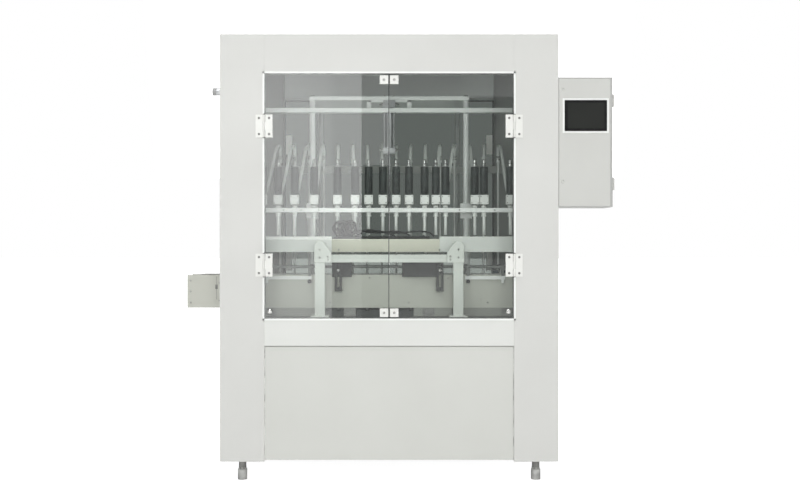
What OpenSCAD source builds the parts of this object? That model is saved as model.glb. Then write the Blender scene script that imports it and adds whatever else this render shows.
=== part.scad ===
// Cabinet piston filler with sixteen nozzles over a through conveyor.
// Millimetres. Origin on the floor under the middle of the cabinet.
// X runs to the right, Y to the back, Z up.

/* [Cabinet] */
// Width of the cabinet
cab_w = 1600; // [1330:10:1920]
// Depth of the cabinet
cab_d = 1000; // [900:10:1200]
// Height of the cabinet above its feet
cab_h = 2020; // [1960:10:2430]
// Height of the levelling feet
foot_h = 100; // [80:5:130]
// Width of the front and rear stiles
stile_w = 210; // [170:5:250]
// Height of the header over the window
header_h = 185; // [150:5:225]
// Height of the rail under the window
mid_rail_h = 128; // [105:1:155]
// Height of the lower opening with the access panel
lower_h = 547; // [500:1:660]
// Depth of the folded frame sections
fold_d = 60; // [50:1:72]
// Thickness of the folded sheet
sheet_t = 3; // [2:0.5:4]
// How far the access panel sits behind the frame face
panel_inset = 6; // [2:1:12]
// Width of the square tubes in the base frame
base_tube = 50; // [40:1:60]
// Thickness of the deck plate
deck_t = 10; // [8:1:15]

/* [Feet] */
// Diameter of the foot pads
pad_d = 45; // [40:1:60]
// Diameter of the sleeve above each pad
sleeve_d = 36; // [28:1:40]

/* [Doors] */
// Thickness of the door glass
glass_t = 8; // [6:1:10]
// Height of each hinge
hinge_h = 108; // [90:1:130]
// Thickness of the hinge leaves
leaf_t = 5; // [4:0.5:6]
// Diameter of the hinge knuckles
knuckle_d = 10; // [9:0.5:12]
// Side of the square catch pads
pad_side = 40; // [32:1:44]

/* [Control box] */
// Width of the control box
box_w = 258; // [250:1:320]
// Height of the control box
box_h = 614; // [520:1:740]
// Depth of the control box with its door
box_d = 220; // [180:1:270]
// Width of the touch panel face
touch_w = 200; // [170:1:210]
// Height of the touch panel face
touch_h = 146; // [120:1:160]

/* [Filling head] */
// Height of the nozzle tips above the deck
fill_h = 413; // [400:1:500]
// Depth of the nozzle beam
nozzle_beam_d = 50; // [44:1:60]
// Outer diameter of the nozzle tubes
nozzle_d = 16; // [13:1:18]
// Diameter of the front guide columns
column_d = 30; // [25:1:36]
// Stroke of the nozzle lift
lift_stroke = 50; // [30:1:60]
// Outer diameter of the product hoses
hose_d = 17; // [12:1:18]

/* [Drip tray] */
// Depth of the drip tray front to back
tray_d = 90; // [75:1:95]
// Stroke of the drip tray
tray_stroke = 65; // [60:1:70]

/* [Conveyor] */
// Width between the conveyor side plates
conv_w = 130; // [125:1:156]
// Height of the conveyor side plates
conv_h = 167; // [160:1:175]
// Length of conveyor outside the left wall
conv_out = 224; // [150:1:270]
// Width of the chain
chain_w = 83; // [70:1:100]

/* [Pump bank] */
// Outer diameter of a pump cylinder
pump_d = 56; // [47:1:67]
// Length of a pump cylinder
pump_len = 200; // [190:1:210]
// Stroke of the pump pistons
pump_stroke = 100; // [60:1:110]

/* [Hidden] */
$fn = 48;
run_gap = 0.05;
hw = cab_w / 2;
yf = -cab_d / 2;
yb = cab_d / 2;
zb = foot_h;
zt = foot_h + cab_h;
win_x = hw - stile_w;
low_z1 = zb + lower_h;
win_z0 = low_z1 + mid_rail_h;
win_z1 = zt - header_h;
win_h = win_z1 - win_z0;
deck_z = win_z0 - 15;
tube_x = hw - sheet_t;
tube_y = yb - fold_d;
foot_x = hw - 96.5;
foot_y = tube_y - base_tube / 2;

// door hinges, catch pads and interlock bolts
glass_y = yf - 2;
pin_y = glass_y - 0.5 - knuckle_d / 2;
pin_d = knuckle_d / 2;
hinge_z = [win_z0 + 0.2185 * win_h, win_z0 + 0.784 * win_h];
hinge_bolt = hinge_h * 0.35;
catch_z = [win_z0 + 9, win_z1 - 12 - pad_side];
guard_z = win_z0 + 35;

// control box
box_z1 = zt - 203;
box_z0 = box_z1 - box_h;
box_x1 = hw + box_w;
touch_x0 = hw + (box_w - touch_w) / 2;
touch_z0 = box_z1 - 255.5;
box_pin_x = box_x1 + 3;
box_pin_y = yf + 12;

// filling head, left to right along the beam
span_k = cab_w / 1600;
nozzle_x = [-650, -570, -485, -385, -265, -175, -105, -32, 36, 102, 182, 240, 290, 440, 487, 622];
heads = 16;
head_y = -55;
block_w = 44 * span_k;
actuator_r = 20.5 * span_k;
tip_z = deck_z + fill_h;
beam_z0 = tip_z + 116;
beam_z1 = tip_z + 138;
column_x = 405 * span_k;
column_y = 100;
rear_col_x = 378 * span_k;
rear_col_y = yb - 100;
gantry_z = zt - 218;
bore_r = 5;

// product lines
pitch = 80 * span_k;
riser_y = yb - 160;
riser_top = deck_z + 840;

// drip tray
tray_y0 = head_y - 45;
tray_y1 = tray_y0 + tray_d;
tray_z0 = tip_z - 87;
tray_z1 = tip_z - 48;
rod_x = 250 * span_k;
rod_z = tip_z - 63;

// conveyor
conv_y = -50;
side_y0 = conv_y - conv_w / 2;
side_y1 = conv_y + conv_w / 2;
side_t = 4;
side_z1 = deck_z + 210;
side_z0 = side_z1 - conv_h;
conv_x0 = -hw - conv_out;
conv_x1 = hw - sheet_t;
wheel_r = 56.5;
chain_in = 57;
chain_out = 65;
wheel_z = deck_z + 150;
drive_x = conv_x1 - 67;
tail_x = conv_x0 + 69;
rail_z = deck_z + 250;
rail_post_x = [-620 * span_k, -403 * span_k, 400 * span_k, 575 * span_k];

// portal in front of the conveyor
post_x = 345 * span_k;
post_y = -200;
post_z1 = deck_z + 375;
splash_x0 = -290 * span_k;
splash_x1 = 255 * span_k;

// pump bank
pump_r = pump_d / 2 * span_k;
pump_bore = pump_r - 3;
pump_z1 = deck_z - 140;
pump_z0 = pump_z1 - pump_len;
drive_z0 = pump_z0 - 160;
drive_z1 = drive_z0 + 40;
guide_x = 650 * span_k;
rack_x = 660 * span_k;
inlet_x = 690 * span_k;
inlet_z = deck_z - 103;

// ---- plain shapes given by their limits ----

module blk(x0, x1, y0, y1, z0, z1) {
  translate([x0, y0, z0]) cube([x1 - x0, y1 - y0, z1 - z0]);
}

module cyl_x(y, z, x0, x1, r) {
  translate([x0, y, z]) rotate([0, 90, 0]) cylinder(h = x1 - x0, r = r);
}

module cyl_y(x, z, y0, y1, r) {
  translate([x, y0, z]) rotate([-90, 0, 0]) cylinder(h = y1 - y0, r = r);
}

module cyl_z(x, y, z0, z1, r) {
  translate([x, y, z0]) cylinder(h = z1 - z0, r = r);
}

module both_sides() {
  children();
  mirror([1, 0, 0]) children();
}

// a folded pan, open towards the back
module pan(x0, x1, y0, y1, z0, z1, t) {
  difference() {
    blk(x0, x1, y0, y1, z0, z1);
    blk(x0 + t, x1 - t, y0 + t, y1 + 1, z0 + t, z1 - t);
  }
}

// ---- cabinet ----

// folded stile left of the window
module front_stile_left() {
  color("gainsboro") pan(-hw, -win_x, yf, yf + fold_d, zb, zt, sheet_t);
}

// folded stile right of the window
module front_stile_right() {
  color("gainsboro") pan(win_x, hw, yf, yf + fold_d, zb, zt, sheet_t);
}

// folded header over the window
module front_header() {
  color("gainsboro") pan(-win_x, win_x, yf, yf + fold_d, win_z1, zt, sheet_t);
}

// folded rail between window and access panel
module front_mid_rail() {
  color("whitesmoke") pan(-win_x, win_x, yf, yf + fold_d, low_z1, win_z0, sheet_t);
}

// lift-off panel in front of the pump bank
module front_access_panel() {
  color("lightgray")
    pan(-win_x + 4, win_x - 4, yf + panel_inset, yf + fold_d, zb + 7, low_z1 - 3, 2);
}

// side wall with the bottle port
module side_wall() {
  difference() {
    blk(-hw, -hw + sheet_t, yf + fold_d, yb - fold_d, zb, zt - sheet_t);
    blk(-hw - 1, -hw + sheet_t + 1, conv_y - 115, conv_y + 115, deck_z + 25, deck_z + 430);
  }
}

// left wall, with the hole for the air inlet
module side_panel_left() {
  color("gainsboro") difference() {
    side_wall();
    cyl_x(yf + 100, zt - 260, -hw - 1, -hw + sheet_t + 1, 12.5);
  }
}

// right wall, with the cable hole into the control box
module side_panel_right() {
  color("gainsboro") difference() {
    mirror([1, 0, 0]) side_wall();
    cyl_x(yf + 150, box_z0 + 100, hw - sheet_t - 1, hw + 1, 25);
  }
}

// roof sheet with two stiffening channels under it
module roof_panel() {
  color("gainsboro") {
    blk(-hw, hw, yf + fold_d, yb - fold_d, zt - sheet_t, zt);
    both_sides() blk(280 * span_k, 320 * span_k, yf + fold_d, yb - fold_d, zt - sheet_t - 25, zt - sheet_t);
  }
}

// stainless deck the machine stands on
module deck_plate() {
  color("silver") difference() {
    blk(-tube_x, tube_x, yf + fold_d, yb - fold_d, deck_z - deck_t, deck_z);
    for (i = [0 : heads - 1])
      cyl_z((i - 7.5) * pitch, riser_y, deck_z - deck_t - 1, deck_z + 1, 8);
  }
}

// welded tube frame under the deck
module base_frame() {
  top_z = deck_z - deck_t;
  color("gray") difference() {
    union() {
      for (s = [-1, 1]) {
        blk(-tube_x, tube_x, s * foot_y - base_tube / 2, s * foot_y + base_tube / 2, zb, zb + base_tube);
        blk(-tube_x, tube_x, s * foot_y - base_tube / 2, s * foot_y + base_tube / 2, top_z - base_tube, top_z);
      }
      both_sides() {
        for (z = [zb, top_z - base_tube])
          blk(tube_x - base_tube, tube_x, -foot_y, foot_y, z, z + base_tube);
        for (s = [-1, 1])
          blk(tube_x - base_tube, tube_x, s * foot_y - base_tube / 2, s * foot_y + base_tube / 2, zb, top_z);
        blk(rack_x - 25, rack_x + 25, -foot_y, foot_y, zb, zb + base_tube);
        blk(320 * span_k - 20, 320 * span_k + 20, -foot_y, foot_y, top_z - base_tube, top_z);
      }
    }
    for (s = [-1, 1])
      for (t = [-1, 1])
        cyl_z(s * foot_x, t * foot_y, zb - 1, zb + base_tube + 1, 10.5);
  }
}

// folded stiles, header, rail and sill round the rear window and service opening
module rear_surround() {
  t = sheet_t;
  seam = 0.2;
  x1 = win_x - seam;
  color("gainsboro") difference() {
    union() {
      both_sides() difference() {
        blk(win_x + seam, hw, yb - fold_d, yb, zb, zt);
        blk(win_x + t + seam, hw - t, yb - fold_d - 1, yb - t, zb + t, zt - t);
      }
      difference() {
        blk(-x1, x1, yb - fold_d, yb, win_z1, zt);
        blk(-x1 - 1, x1 + 1, yb - fold_d - 1, yb - t, win_z1 + t, zt - t);
      }
      difference() {
        blk(-x1, x1, yb - fold_d, yb, low_z1, win_z0);
        blk(-x1 - 1, x1 + 1, yb - fold_d - 1, yb - t, low_z1 + t, win_z0 - t);
      }
      blk(-x1, x1, yb - fold_d, yb, zb, zb + 7);
    }
    cyl_y(inlet_x, inlet_z, yb - t - 1, yb + 1, 28);
    cyl_y(-hw + 110, zb + 200, yb - t - 1, yb + 1, 12.5);
  }
}

// louvred panel behind the pump bank
module rear_service_panel() {
  color("lightgray") difference() {
    rotate([0, 0, 180])
      pan(-win_x + 4, win_x - 4, yf + panel_inset, yf + fold_d, zb + 7, low_z1 - 3, 2);
    for (s = [-1, 1])
      for (i = [0 : 5])
        blk(s * 300 * span_k - 90, s * 300 * span_k + 90, yb - panel_inset - 3, yb - panel_inset + 1,
          zb + 120 + i * 30, zb + 128 + i * 30);
  }
}

// four round foot pads
module foot_pads() {
  color("darkgray")
    for (s = [-1, 1])
      for (t = [-1, 1])
        cyl_z(s * foot_x, t * foot_y, 0, foot_h / 2, pad_d / 2);
}

// threaded studs with their dark sleeves
module foot_studs() {
  color("dimgray")
    for (s = [-1, 1])
      for (t = [-1, 1]) {
        cyl_z(s * foot_x, t * foot_y, foot_h / 2, foot_h, sleeve_d / 2);
        cyl_z(s * foot_x, t * foot_y, foot_h, foot_h + base_tube - 5, 10);
      }
}

// ---- doors ----

// left glass with its bolt holes
module door_glass() {
  difference() {
    blk(-win_x + 1.5, -1.5, glass_y, glass_y + glass_t, win_z0 + 2.5, win_z1 - 2.5);
    for (z = hinge_z)
      for (s = [-1, 1])
        cyl_y(-win_x + 24, z + s * hinge_bolt, glass_y - 1, glass_y + glass_t + 1, 3.5);
    for (z = catch_z)
      cyl_y(-4 - pad_side / 2, z + pad_side / 2, glass_y - 1, glass_y + glass_t + 1, 3.5);
    cyl_y(-win_x + 28, guard_z, glass_y - 1, glass_y + glass_t + 1, 3.5);
  }
}

// door leaves, backing plates, catch pads and interlock bolt of the left door
module door_fittings() {
  inner_y = glass_y + glass_t;
  for (z = hinge_z) {
    difference() {
      union() {
        blk(-win_x + 6, -win_x + 40, glass_y - leaf_t, glass_y, z - hinge_h / 2, z + hinge_h / 2);
        blk(-win_x + 2, -win_x + 6, glass_y - leaf_t, glass_y - 1, z - hinge_h / 6, z + hinge_h / 6);
        cyl_z(-win_x, pin_y, z - hinge_h / 6, z + hinge_h / 6, knuckle_d / 2);
      }
      cyl_z(-win_x, pin_y, z - hinge_h, z + hinge_h, pin_d / 2 + run_gap);
    }
    blk(-win_x + 6, -win_x + 40, inner_y, inner_y + 4, z - hinge_h / 2, z + hinge_h / 2);
    for (s = [-1, 1])
      cyl_y(-win_x + 24, z + s * hinge_bolt, glass_y, inner_y, 3);
  }
  for (z = catch_z) {
    blk(-4 - pad_side, -4, glass_y - 5, glass_y, z, z + pad_side);
    blk(-4 - pad_side, -4, inner_y, inner_y + 6, z, z + pad_side);
    cyl_y(-4 - pad_side / 2, z + pad_side / 2, glass_y, inner_y, 3);
  }
  cyl_y(-win_x + 28, guard_z, glass_y - 4, glass_y, 9.5);
  cyl_y(-win_x + 28, guard_z, glass_y, inner_y, 3);
  cyl_y(-win_x + 28, guard_z, inner_y, inner_y + 14, 8);
}

// frame leaves and pins of one door
module frame_leaves() {
  for (z = hinge_z) {
    blk(-win_x - 40, -win_x - 6, yf - leaf_t, yf, z - hinge_h / 2, z + hinge_h / 2);
    for (s = [-1, 1]) {
      blk(-win_x - 6, -win_x - 2, yf - leaf_t, yf - 1, z + s * hinge_h / 3 - hinge_h / 6 + 0.5,
        z + s * hinge_h / 3 + hinge_h / 6 - 0.5);
      cyl_z(-win_x, pin_y, z + s * hinge_h / 3 - hinge_h / 6 + 0.5, z + s * hinge_h / 3 + hinge_h / 6 - 0.5,
        knuckle_d / 2);
    }
    cyl_z(-win_x, pin_y, z - hinge_h / 2, z + hinge_h / 2, pin_d / 2);
  }
}

// magnet blocks behind the catch pads, on header and rail
module magnet_pair() {
  y0 = glass_y + glass_t + 6;
  blk(-4 - pad_side, 4 + pad_side, y0, y0 + 22, win_z0, win_z0 + 44);
  blk(-4 - pad_side, 4 + pad_side, y0, y0 + 22, win_z1 - 46, win_z1);
}

module front_left_door_glass() {
  color("lightblue", 0.35) door_glass();
}

module front_right_door_glass() {
  color("lightblue", 0.35) mirror([1, 0, 0]) door_glass();
}

module rear_left_door_glass() {
  color("slategray", 0.35) mirror([0, 1, 0]) door_glass();
}

module rear_right_door_glass() {
  color("slategray", 0.35) rotate([0, 0, 180]) door_glass();
}

module front_left_door_fittings() {
  color("white") door_fittings();
}

module front_right_door_fittings() {
  color("white") mirror([1, 0, 0]) door_fittings();
}

module rear_left_door_fittings() {
  color("white") mirror([0, 1, 0]) door_fittings();
}

module rear_right_door_fittings() {
  color("white") rotate([0, 0, 180]) door_fittings();
}

// all frame side hinge leaves with their pins
module hinge_frame_leaves() {
  color("white") both_sides() {
    frame_leaves();
    mirror([0, 1, 0]) frame_leaves();
  }
}

// front and rear magnet blocks
module magnet_catches() {
  color("dimgray") {
    magnet_pair();
    mirror([0, 1, 0]) magnet_pair();
  }
}

// ---- control box ----

// knuckle heights of the control box hinges
box_hinge_z = [box_z0 + box_h * 0.18, box_z0 + box_h * 0.82];

// box on the right wall, open to the front
module control_box_shell() {
  color("gainsboro") {
    difference() {
      blk(hw, box_x1, yf + 22, yf + box_d, box_z0, box_z1);
      blk(hw + 2, box_x1 - 2, yf + 21, yf + box_d - 2, box_z0 + 2, box_z1 - 2);
      cyl_x(yf + 150, box_z0 + 100, hw - 1, hw + 3, 25);
    }
    for (z = box_hinge_z) {
      for (s = [-1, 1]) {
        cyl_z(box_pin_x, box_pin_y, z + s * 20 - 9.5, z + s * 20 + 9.5, 4.5);
        blk(box_x1, box_pin_x, box_pin_y, yf + 40, z + s * 20 - 9.5, z + s * 20 + 9.5);
      }
      cyl_z(box_pin_x, box_pin_y, z - 29.5, z + 29.5, 2);
    }
  }
}

// folded door of the control box
module control_box_door() {
  color("gainsboro") difference() {
    union() {
      pan(hw + 2, box_x1 - 2.5, yf + 4, yf + 22, box_z0 + 1, box_z1 - 1, 2);
      for (z = box_hinge_z) {
        cyl_z(box_pin_x, box_pin_y, z - 10, z + 10, 4.5);
        blk(box_x1 - 4, box_pin_x, yf + 8, box_pin_y, z - 10, z + 10);
      }
    }
    blk(touch_x0 + 6, touch_x0 + touch_w - 6, yf + 3, yf + 7, touch_z0 + 6, touch_z0 + touch_h - 6);
    for (z = box_hinge_z)
      cyl_z(box_pin_x, box_pin_y, z - 11, z + 11, 2 + run_gap);
  }
}

// touch panel set in the door
module touch_panel() {
  color("black") {
    blk(touch_x0, touch_x0 + touch_w, yf - 1, yf + 4, touch_z0, touch_z0 + touch_h);
    blk(touch_x0 + 7, touch_x0 + touch_w - 7, yf + 4, yf + 46, touch_z0 + 7, touch_z0 + touch_h - 7);
  }
}

// mounting plate with ducts, controller, drives and terminals
module control_modules() {
  y1 = yf + box_d - 2;
  x0 = hw + 20;
  x1 = box_x1 - 20;
  color("silver") {
    blk(x0, x1, y1 - 3, y1, box_z0 + 25, box_z1 - 25);
    for (f = [0.14, 0.43, 0.72])
      blk(x0 + 8, x1 - 8, y1 - 11, y1 - 3, box_z0 + box_h * f - 17, box_z0 + box_h * f + 18);
    for (f = [0.27, 0.56, 0.85])
      blk(x0 + 4, x1 - 4, y1 - 43, y1 - 3, box_z0 + box_h * f - 18, box_z0 + box_h * f + 18);
    blk(x0 + 14, x0 + 114, y1 - 90, y1 - 11, box_z0 + box_h * 0.72 - 45, box_z0 + box_h * 0.72 + 45);
    blk(x0 + 120, x1 - 14, y1 - 75, y1 - 11, box_z0 + box_h * 0.72 - 45, box_z0 + box_h * 0.72 + 45);
    blk(x0 + 14, x0 + 76, y1 - 100, y1 - 11, box_z0 + box_h * 0.43 - 50, box_z0 + box_h * 0.43 + 50);
    blk(x0 + 84, x0 + 120, y1 - 70, y1 - 11, box_z0 + box_h * 0.43 - 42, box_z0 + box_h * 0.43 + 42);
    blk(x0 + 126, x1 - 14, y1 - 70, y1 - 11, box_z0 + box_h * 0.43 - 42, box_z0 + box_h * 0.43 + 42);
    blk(x0 + 14, x1 - 14, y1 - 56, y1 - 11, box_z0 + box_h * 0.14 - 24, box_z0 + box_h * 0.14 + 24);
  }
}

// ---- lift gantry and filling head ----

// two full width rails between the walls, one before the columns, one behind the risers
module cross_rails() {
  front = column_y - column_d / 2 - 40;
  color("whitesmoke") difference() {
    union() {
      blk(-tube_x, tube_x, front, front + 40, gantry_z - 87, gantry_z - 64);
      blk(-tube_x, tube_x, riser_y + 6, riser_y + 12, riser_top - 85, riser_top - 45);
    }
    blk(-36, 36, front + 19, front + 41, gantry_z - 90, gantry_z - 60);
  }
}

// top plate on the four columns
module gantry_plate() {
  color("whitesmoke")
    blk(-420 * span_k, 420 * span_k, column_y - 30, rear_col_y + 30, gantry_z - 20, gantry_z);
}

// two guide columns and two rear columns with their flanges
module guide_columns() {
  color("silver") both_sides() {
    cyl_z(column_x, column_y, deck_z, gantry_z - 20, column_d / 2);
    cyl_z(column_x, column_y, deck_z, deck_z + 16, 34);
    cyl_z(rear_col_x, rear_col_y, deck_z, gantry_z - 20, 12);
    cyl_z(rear_col_x, rear_col_y, deck_z, deck_z + 14, 28);
  }
}

// tie rod cylinder that raises and lowers the head
module lift_cylinder() {
  z1 = gantry_z - 20;
  color("lightgray") difference() {
    union() {
      blk(-32, 32, column_y - 32, column_y + 32, z1 - 40, z1);
      cyl_z(0, column_y, z1 - 250, z1 - 40, 22);
      blk(-32, 32, column_y - 32, column_y + 32, z1 - 280, z1 - 250);
      for (s = [-1, 1])
        for (t = [-1, 1])
          cyl_z(s * 25, column_y + t * 25, z1 - 288, z1 - 20, 4);
    }
    cyl_z(0, column_y, z1 - 250, z1 - 40, 16 + run_gap);
    cyl_z(0, column_y, z1 - 290, z1 - 240, 8 + run_gap);
  }
}

// piston and rod of the lift cylinder
module lift_rod() {
  z1 = gantry_z - 20;
  color("silver") {
    cyl_z(0, column_y, beam_z1, z1 - 60, 8);
    cyl_z(0, column_y, z1 - 68, z1 - 42, 16);
    cyl_z(0, column_y, beam_z1, beam_z1 + 14, 14);
  }
}

// beam with arms to the bushes on the columns
module nozzle_beam() {
  back = head_y + nozzle_beam_d / 2;
  color("white") difference() {
    union() {
      blk(-680 * span_k, 680 * span_k, head_y - nozzle_beam_d / 2, back, beam_z0, beam_z1);
      blk(-25, 25, back, column_y + 25, beam_z0, beam_z1);
      both_sides() {
        blk(column_x - 25, column_x + 25, back, column_y, beam_z0, beam_z1);
        blk(column_x - 30, column_x + 30, column_y - 30, column_y + 30, beam_z0 - 29, beam_z1 + 29);
      }
    }
    both_sides() cyl_z(column_x, column_y, beam_z0 - 40, beam_z1 + 40, column_d / 2 + run_gap);
    for (x = nozzle_x)
      cyl_z(x * span_k, head_y, beam_z0 - 1, beam_z1 + 1, bore_r);
  }
}

// sixteen square valve blocks on their necks
module valve_blocks() {
  color("white")
    for (x = nozzle_x)
      difference() {
        union() {
          blk(x * span_k - block_w / 2, x * span_k + block_w / 2, head_y - 22, head_y + 22, tip_z + 157, tip_z + 205);
          cyl_z(x * span_k, head_y, beam_z1, tip_z + 157, 13);
        }
        cyl_z(x * span_k, head_y, beam_z1 - 1, tip_z + 206, bore_r);
      }
}

// sixteen dark actuators above the blocks
module nozzle_actuators() {
  color("darkslategray")
    for (x = nozzle_x)
      difference() {
        union() {
          cyl_z(x * span_k, head_y, tip_z + 210, tip_z + 349, actuator_r);
          cyl_z(x * span_k, head_y, tip_z + 205, tip_z + 210, 13);
        }
        cyl_z(x * span_k, head_y, tip_z + 204, tip_z + 213, bore_r);
        cyl_z(x * span_k, head_y, tip_z + 212, tip_z + 240, 10);
      }
}

// stroke adjusters on top of the actuators
module actuator_fittings() {
  color("silver")
    for (x = nozzle_x) {
      cyl_z(x * span_k, head_y, tip_z + 349, tip_z + 356, 12);
      cyl_z(x * span_k, head_y, tip_z + 356, tip_z + 382, 9);
    }
}

// sixteen nozzle tubes with their collars
module nozzle_tubes() {
  color("silver")
    for (x = nozzle_x)
      difference() {
        union() {
          cyl_z(x * span_k, head_y, tip_z, beam_z0, nozzle_d / 2);
          cyl_z(x * span_k, head_y, beam_z0 - 18, beam_z0, 12);
        }
        cyl_z(x * span_k, head_y, tip_z - 1, beam_z0 + 1, bore_r);
      }
}

// needles that open and close the nozzles
module shutoff_needles() {
  color("silver")
    for (x = nozzle_x) {
      cyl_z(x * span_k, head_y, tip_z + 4, tip_z + 212, 3);
      cyl_z(x * span_k, head_y, tip_z + 212, tip_z + 224, 10 - run_gap);
    }
}

// ---- product lines ----

function unit(v) = v / norm(v);

// ring of eight points round point p, square to direction t
function ring(p, t, r) = let(u = unit(cross(t, [1, 0, 0])), v = cross(t, u))
  [for (k = [0 : 7]) p + r * (cos(45 * k) * u + sin(45 * k) * v)];

// direction of the line at point i, level at the last
function heading(pts, i) = i == len(pts) - 1 ? [0, -1, 0]
  : unit(pts[i + 1] - pts[max(i - 1, 0)]);

// round hose through the given points
module hose(pts, r) {
  n = len(pts);
  polyhedron(
    points = [for (i = [0 : n - 1]) each ring(pts[i], heading(pts, i), r)],
    faces = concat(
      [[for (k = [0 : 7]) k]],
      [for (i = [0 : n - 2]) for (k = [0 : 7])
        [i * 8 + k, i * 8 + 8 + k, i * 8 + 8 + (k + 1) % 8, i * 8 + (k + 1) % 8]],
      [[for (k = [7 : -1 : 0]) (n - 1) * 8 + k]]
    )
  );
}

// hose points between riser x and nozzle x
function hose_points(a, b) = [
  [a, riser_y, riser_top + 0.5],
  [a, riser_y, riser_top + 20],
  [a, riser_y - 22, riser_top + 62],
  [a + 0.25 * (b - a), riser_y - 118, riser_top + 28],
  [a + 0.7 * (b - a), riser_y - 245, tip_z + 277],
  [b, head_y + 42, tip_z + 184],
  [b, head_y + 22.4, tip_z + 181]
];

// sixteen clear hoses, riser tops to valve blocks
module product_hoses() {
  color("white", 0.5)
    for (i = [0 : heads - 1])
      hose(hose_points((i - 7.5) * pitch, nozzle_x[i] * span_k), hose_d / 2);
}

// steel risers from the pump heads, with hose tails
module riser_tubes() {
  color("silver")
    for (i = [0 : heads - 1]) {
      cyl_z((i - 7.5) * pitch, riser_y, deck_z - 80, riser_top, 6);
      cyl_z((i - 7.5) * pitch, riser_y, riser_top - 28, riser_top, 11);
      cyl_z((i - 7.5) * pitch, riser_y, deck_z - 80, deck_z - 62, 10);
    }
}

// ---- portal and drip tray ----

// posts, bridge bar, corner plates and wing plates
module portal_frame() {
  color("white") {
    blk(-post_x + 25, post_x - 25, post_y - 20, post_y + 20, deck_z + 275, deck_z + 315);
    both_sides() {
      blk(post_x - 25, post_x + 25, post_y - 25, post_y + 25, deck_z, post_z1);
      blk(post_x - 45, post_x + 45, post_y - 45, post_y + 45, deck_z, deck_z + 10);
      translate([0, post_y - 25, 0]) rotate([90, 0, 0]) linear_extrude(height = 6)
        polygon([[post_x - 57, deck_z + 275], [post_x + 28, deck_z + 275], [post_x + 28, deck_z + 362],
          [post_x + 12, deck_z + 380], [post_x - 14, deck_z + 380], [post_x - 57, deck_z + 325]]);
      blk(post_x - 20, post_x + 20, post_y + 25, post_y + 60, tip_z - 78, post_z1);
    }
    blk(-690 * span_k, splash_x0, post_y + 60, post_y + 64, tip_z - 87, tip_z - 8);
    blk(-690 * span_k, splash_x0, post_y + 64, post_y + 84, tip_z - 11, tip_z - 8);
    blk(splash_x1, 690 * span_k, post_y + 60, post_y + 64, tip_z - 87, tip_z - 8);
    blk(splash_x1, 690 * span_k, post_y + 64, post_y + 84, tip_z - 11, tip_z - 8);
  }
}

// fixed plate between the wing plates, in front of the tray
module splash_plate() {
  color("tan") {
    blk(splash_x0, splash_x1, post_y + 60, post_y + 63, tip_z - 87, tip_z - 21);
    blk(splash_x0, splash_x1, post_y + 63, post_y + 78, tip_z - 87, tip_z - 84);
  }
}

// black slotted brackets from the bridge bar to the conveyor
module slotted_brackets() {
  color("black") both_sides() difference() {
    union() {
      blk(237 * span_k, 273 * span_k, post_y + 20, post_y + 28, deck_z + 128, deck_z + 315);
      blk(237 * span_k, 273 * span_k, post_y + 28, side_y0 - side_t, deck_z + 128, deck_z + 136);
    }
    blk(250 * span_k, 260 * span_k, post_y + 19, post_y + 29, deck_z + 150, deck_z + 265);
  }
}

// open tray under the tips, with its two rods and pistons
module drip_tray() {
  color("tan") {
    difference() {
      blk(-655 * span_k, 655 * span_k, tray_y0, tray_y1, tray_z0, tray_z1);
      blk(-655 * span_k + 2, 655 * span_k - 2, tray_y0 + 2, tray_y1 - 2, tray_z0 + 2, tray_z1 + 1);
    }
    both_sides() {
      cyl_y(rod_x, rod_z, tray_y1, column_y + 70, 6);
      cyl_y(rod_x, rod_z, column_y + 58, column_y + 70, 16);
      cyl_y(rod_x, rod_z, tray_y1, tray_y1 + 8, 11);
    }
  }
}

// cross beam clamped to the guide columns
module tray_beam() {
  color("whitesmoke") difference() {
    blk(-440 * span_k, 440 * span_k, column_y - 25, column_y + 25, tip_z - 85, tip_z - 35);
    both_sides() {
      cyl_z(column_x, column_y, tip_z - 90, tip_z - 30, column_d / 2);
      cyl_y(rod_x, rod_z, column_y - 30, column_y + 30, 6 + run_gap);
    }
  }
}

// two cylinders behind the cross beam
module tray_cylinders() {
  color("lightgray") both_sides() difference() {
    cyl_y(rod_x, rod_z, column_y + 25, column_y + 150, 20);
    cyl_y(rod_x, rod_z, column_y + 24, column_y + 144, 16 + run_gap);
  }
}

// ---- conveyor ----

// side plates, cross bars, wear strips and legs
module conveyor_frame() {
  bars = [-700 * span_k, -300 * span_k, 100 * span_k, 500 * span_k];
  color("lightgray") difference() {
    union() {
      blk(conv_x0, conv_x1, side_y0 - side_t, side_y0, side_z0, side_z1);
      blk(conv_x0, conv_x1, side_y1, side_y1 + side_t, side_z0, side_z1);
      for (x = bars) {
        blk(x - 12, x + 12, side_y0, side_y1, wheel_z + 32, wheel_z + 50);
        cyl_y(x, wheel_z - 10, side_y0, side_y1, 12);
        cyl_y(x + 60, side_z0 + 14, side_y0, side_y1, 8);
      }
      for (s = [-1, 1])
        blk(tail_x + 20, drive_x - 20, conv_y + s * 30 - 8, conv_y + s * 30 + 8, wheel_z + 50, wheel_z + chain_in);
      for (x = [-600, -200, 200, 600])
        blk(x * span_k - 30, x * span_k + 30, side_y0 - side_t, side_y1 + side_t, deck_z, side_z0);
    }
    cyl_y(drive_x, wheel_z, side_y0 - 10, side_y1 + 10, 12.5 + run_gap);
    cyl_y(tail_x, wheel_z, side_y0 - 10, side_y1 + 10, 12.5 + run_gap);
    for (s = [-1, 1])
      for (x = [tail_x, drive_x])
        blk(x - 62, x + 62, conv_y + s * 30 - 12, conv_y + s * 30 + 12, wheel_z + 40, wheel_z + chain_in + 1);
  }
}

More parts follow.
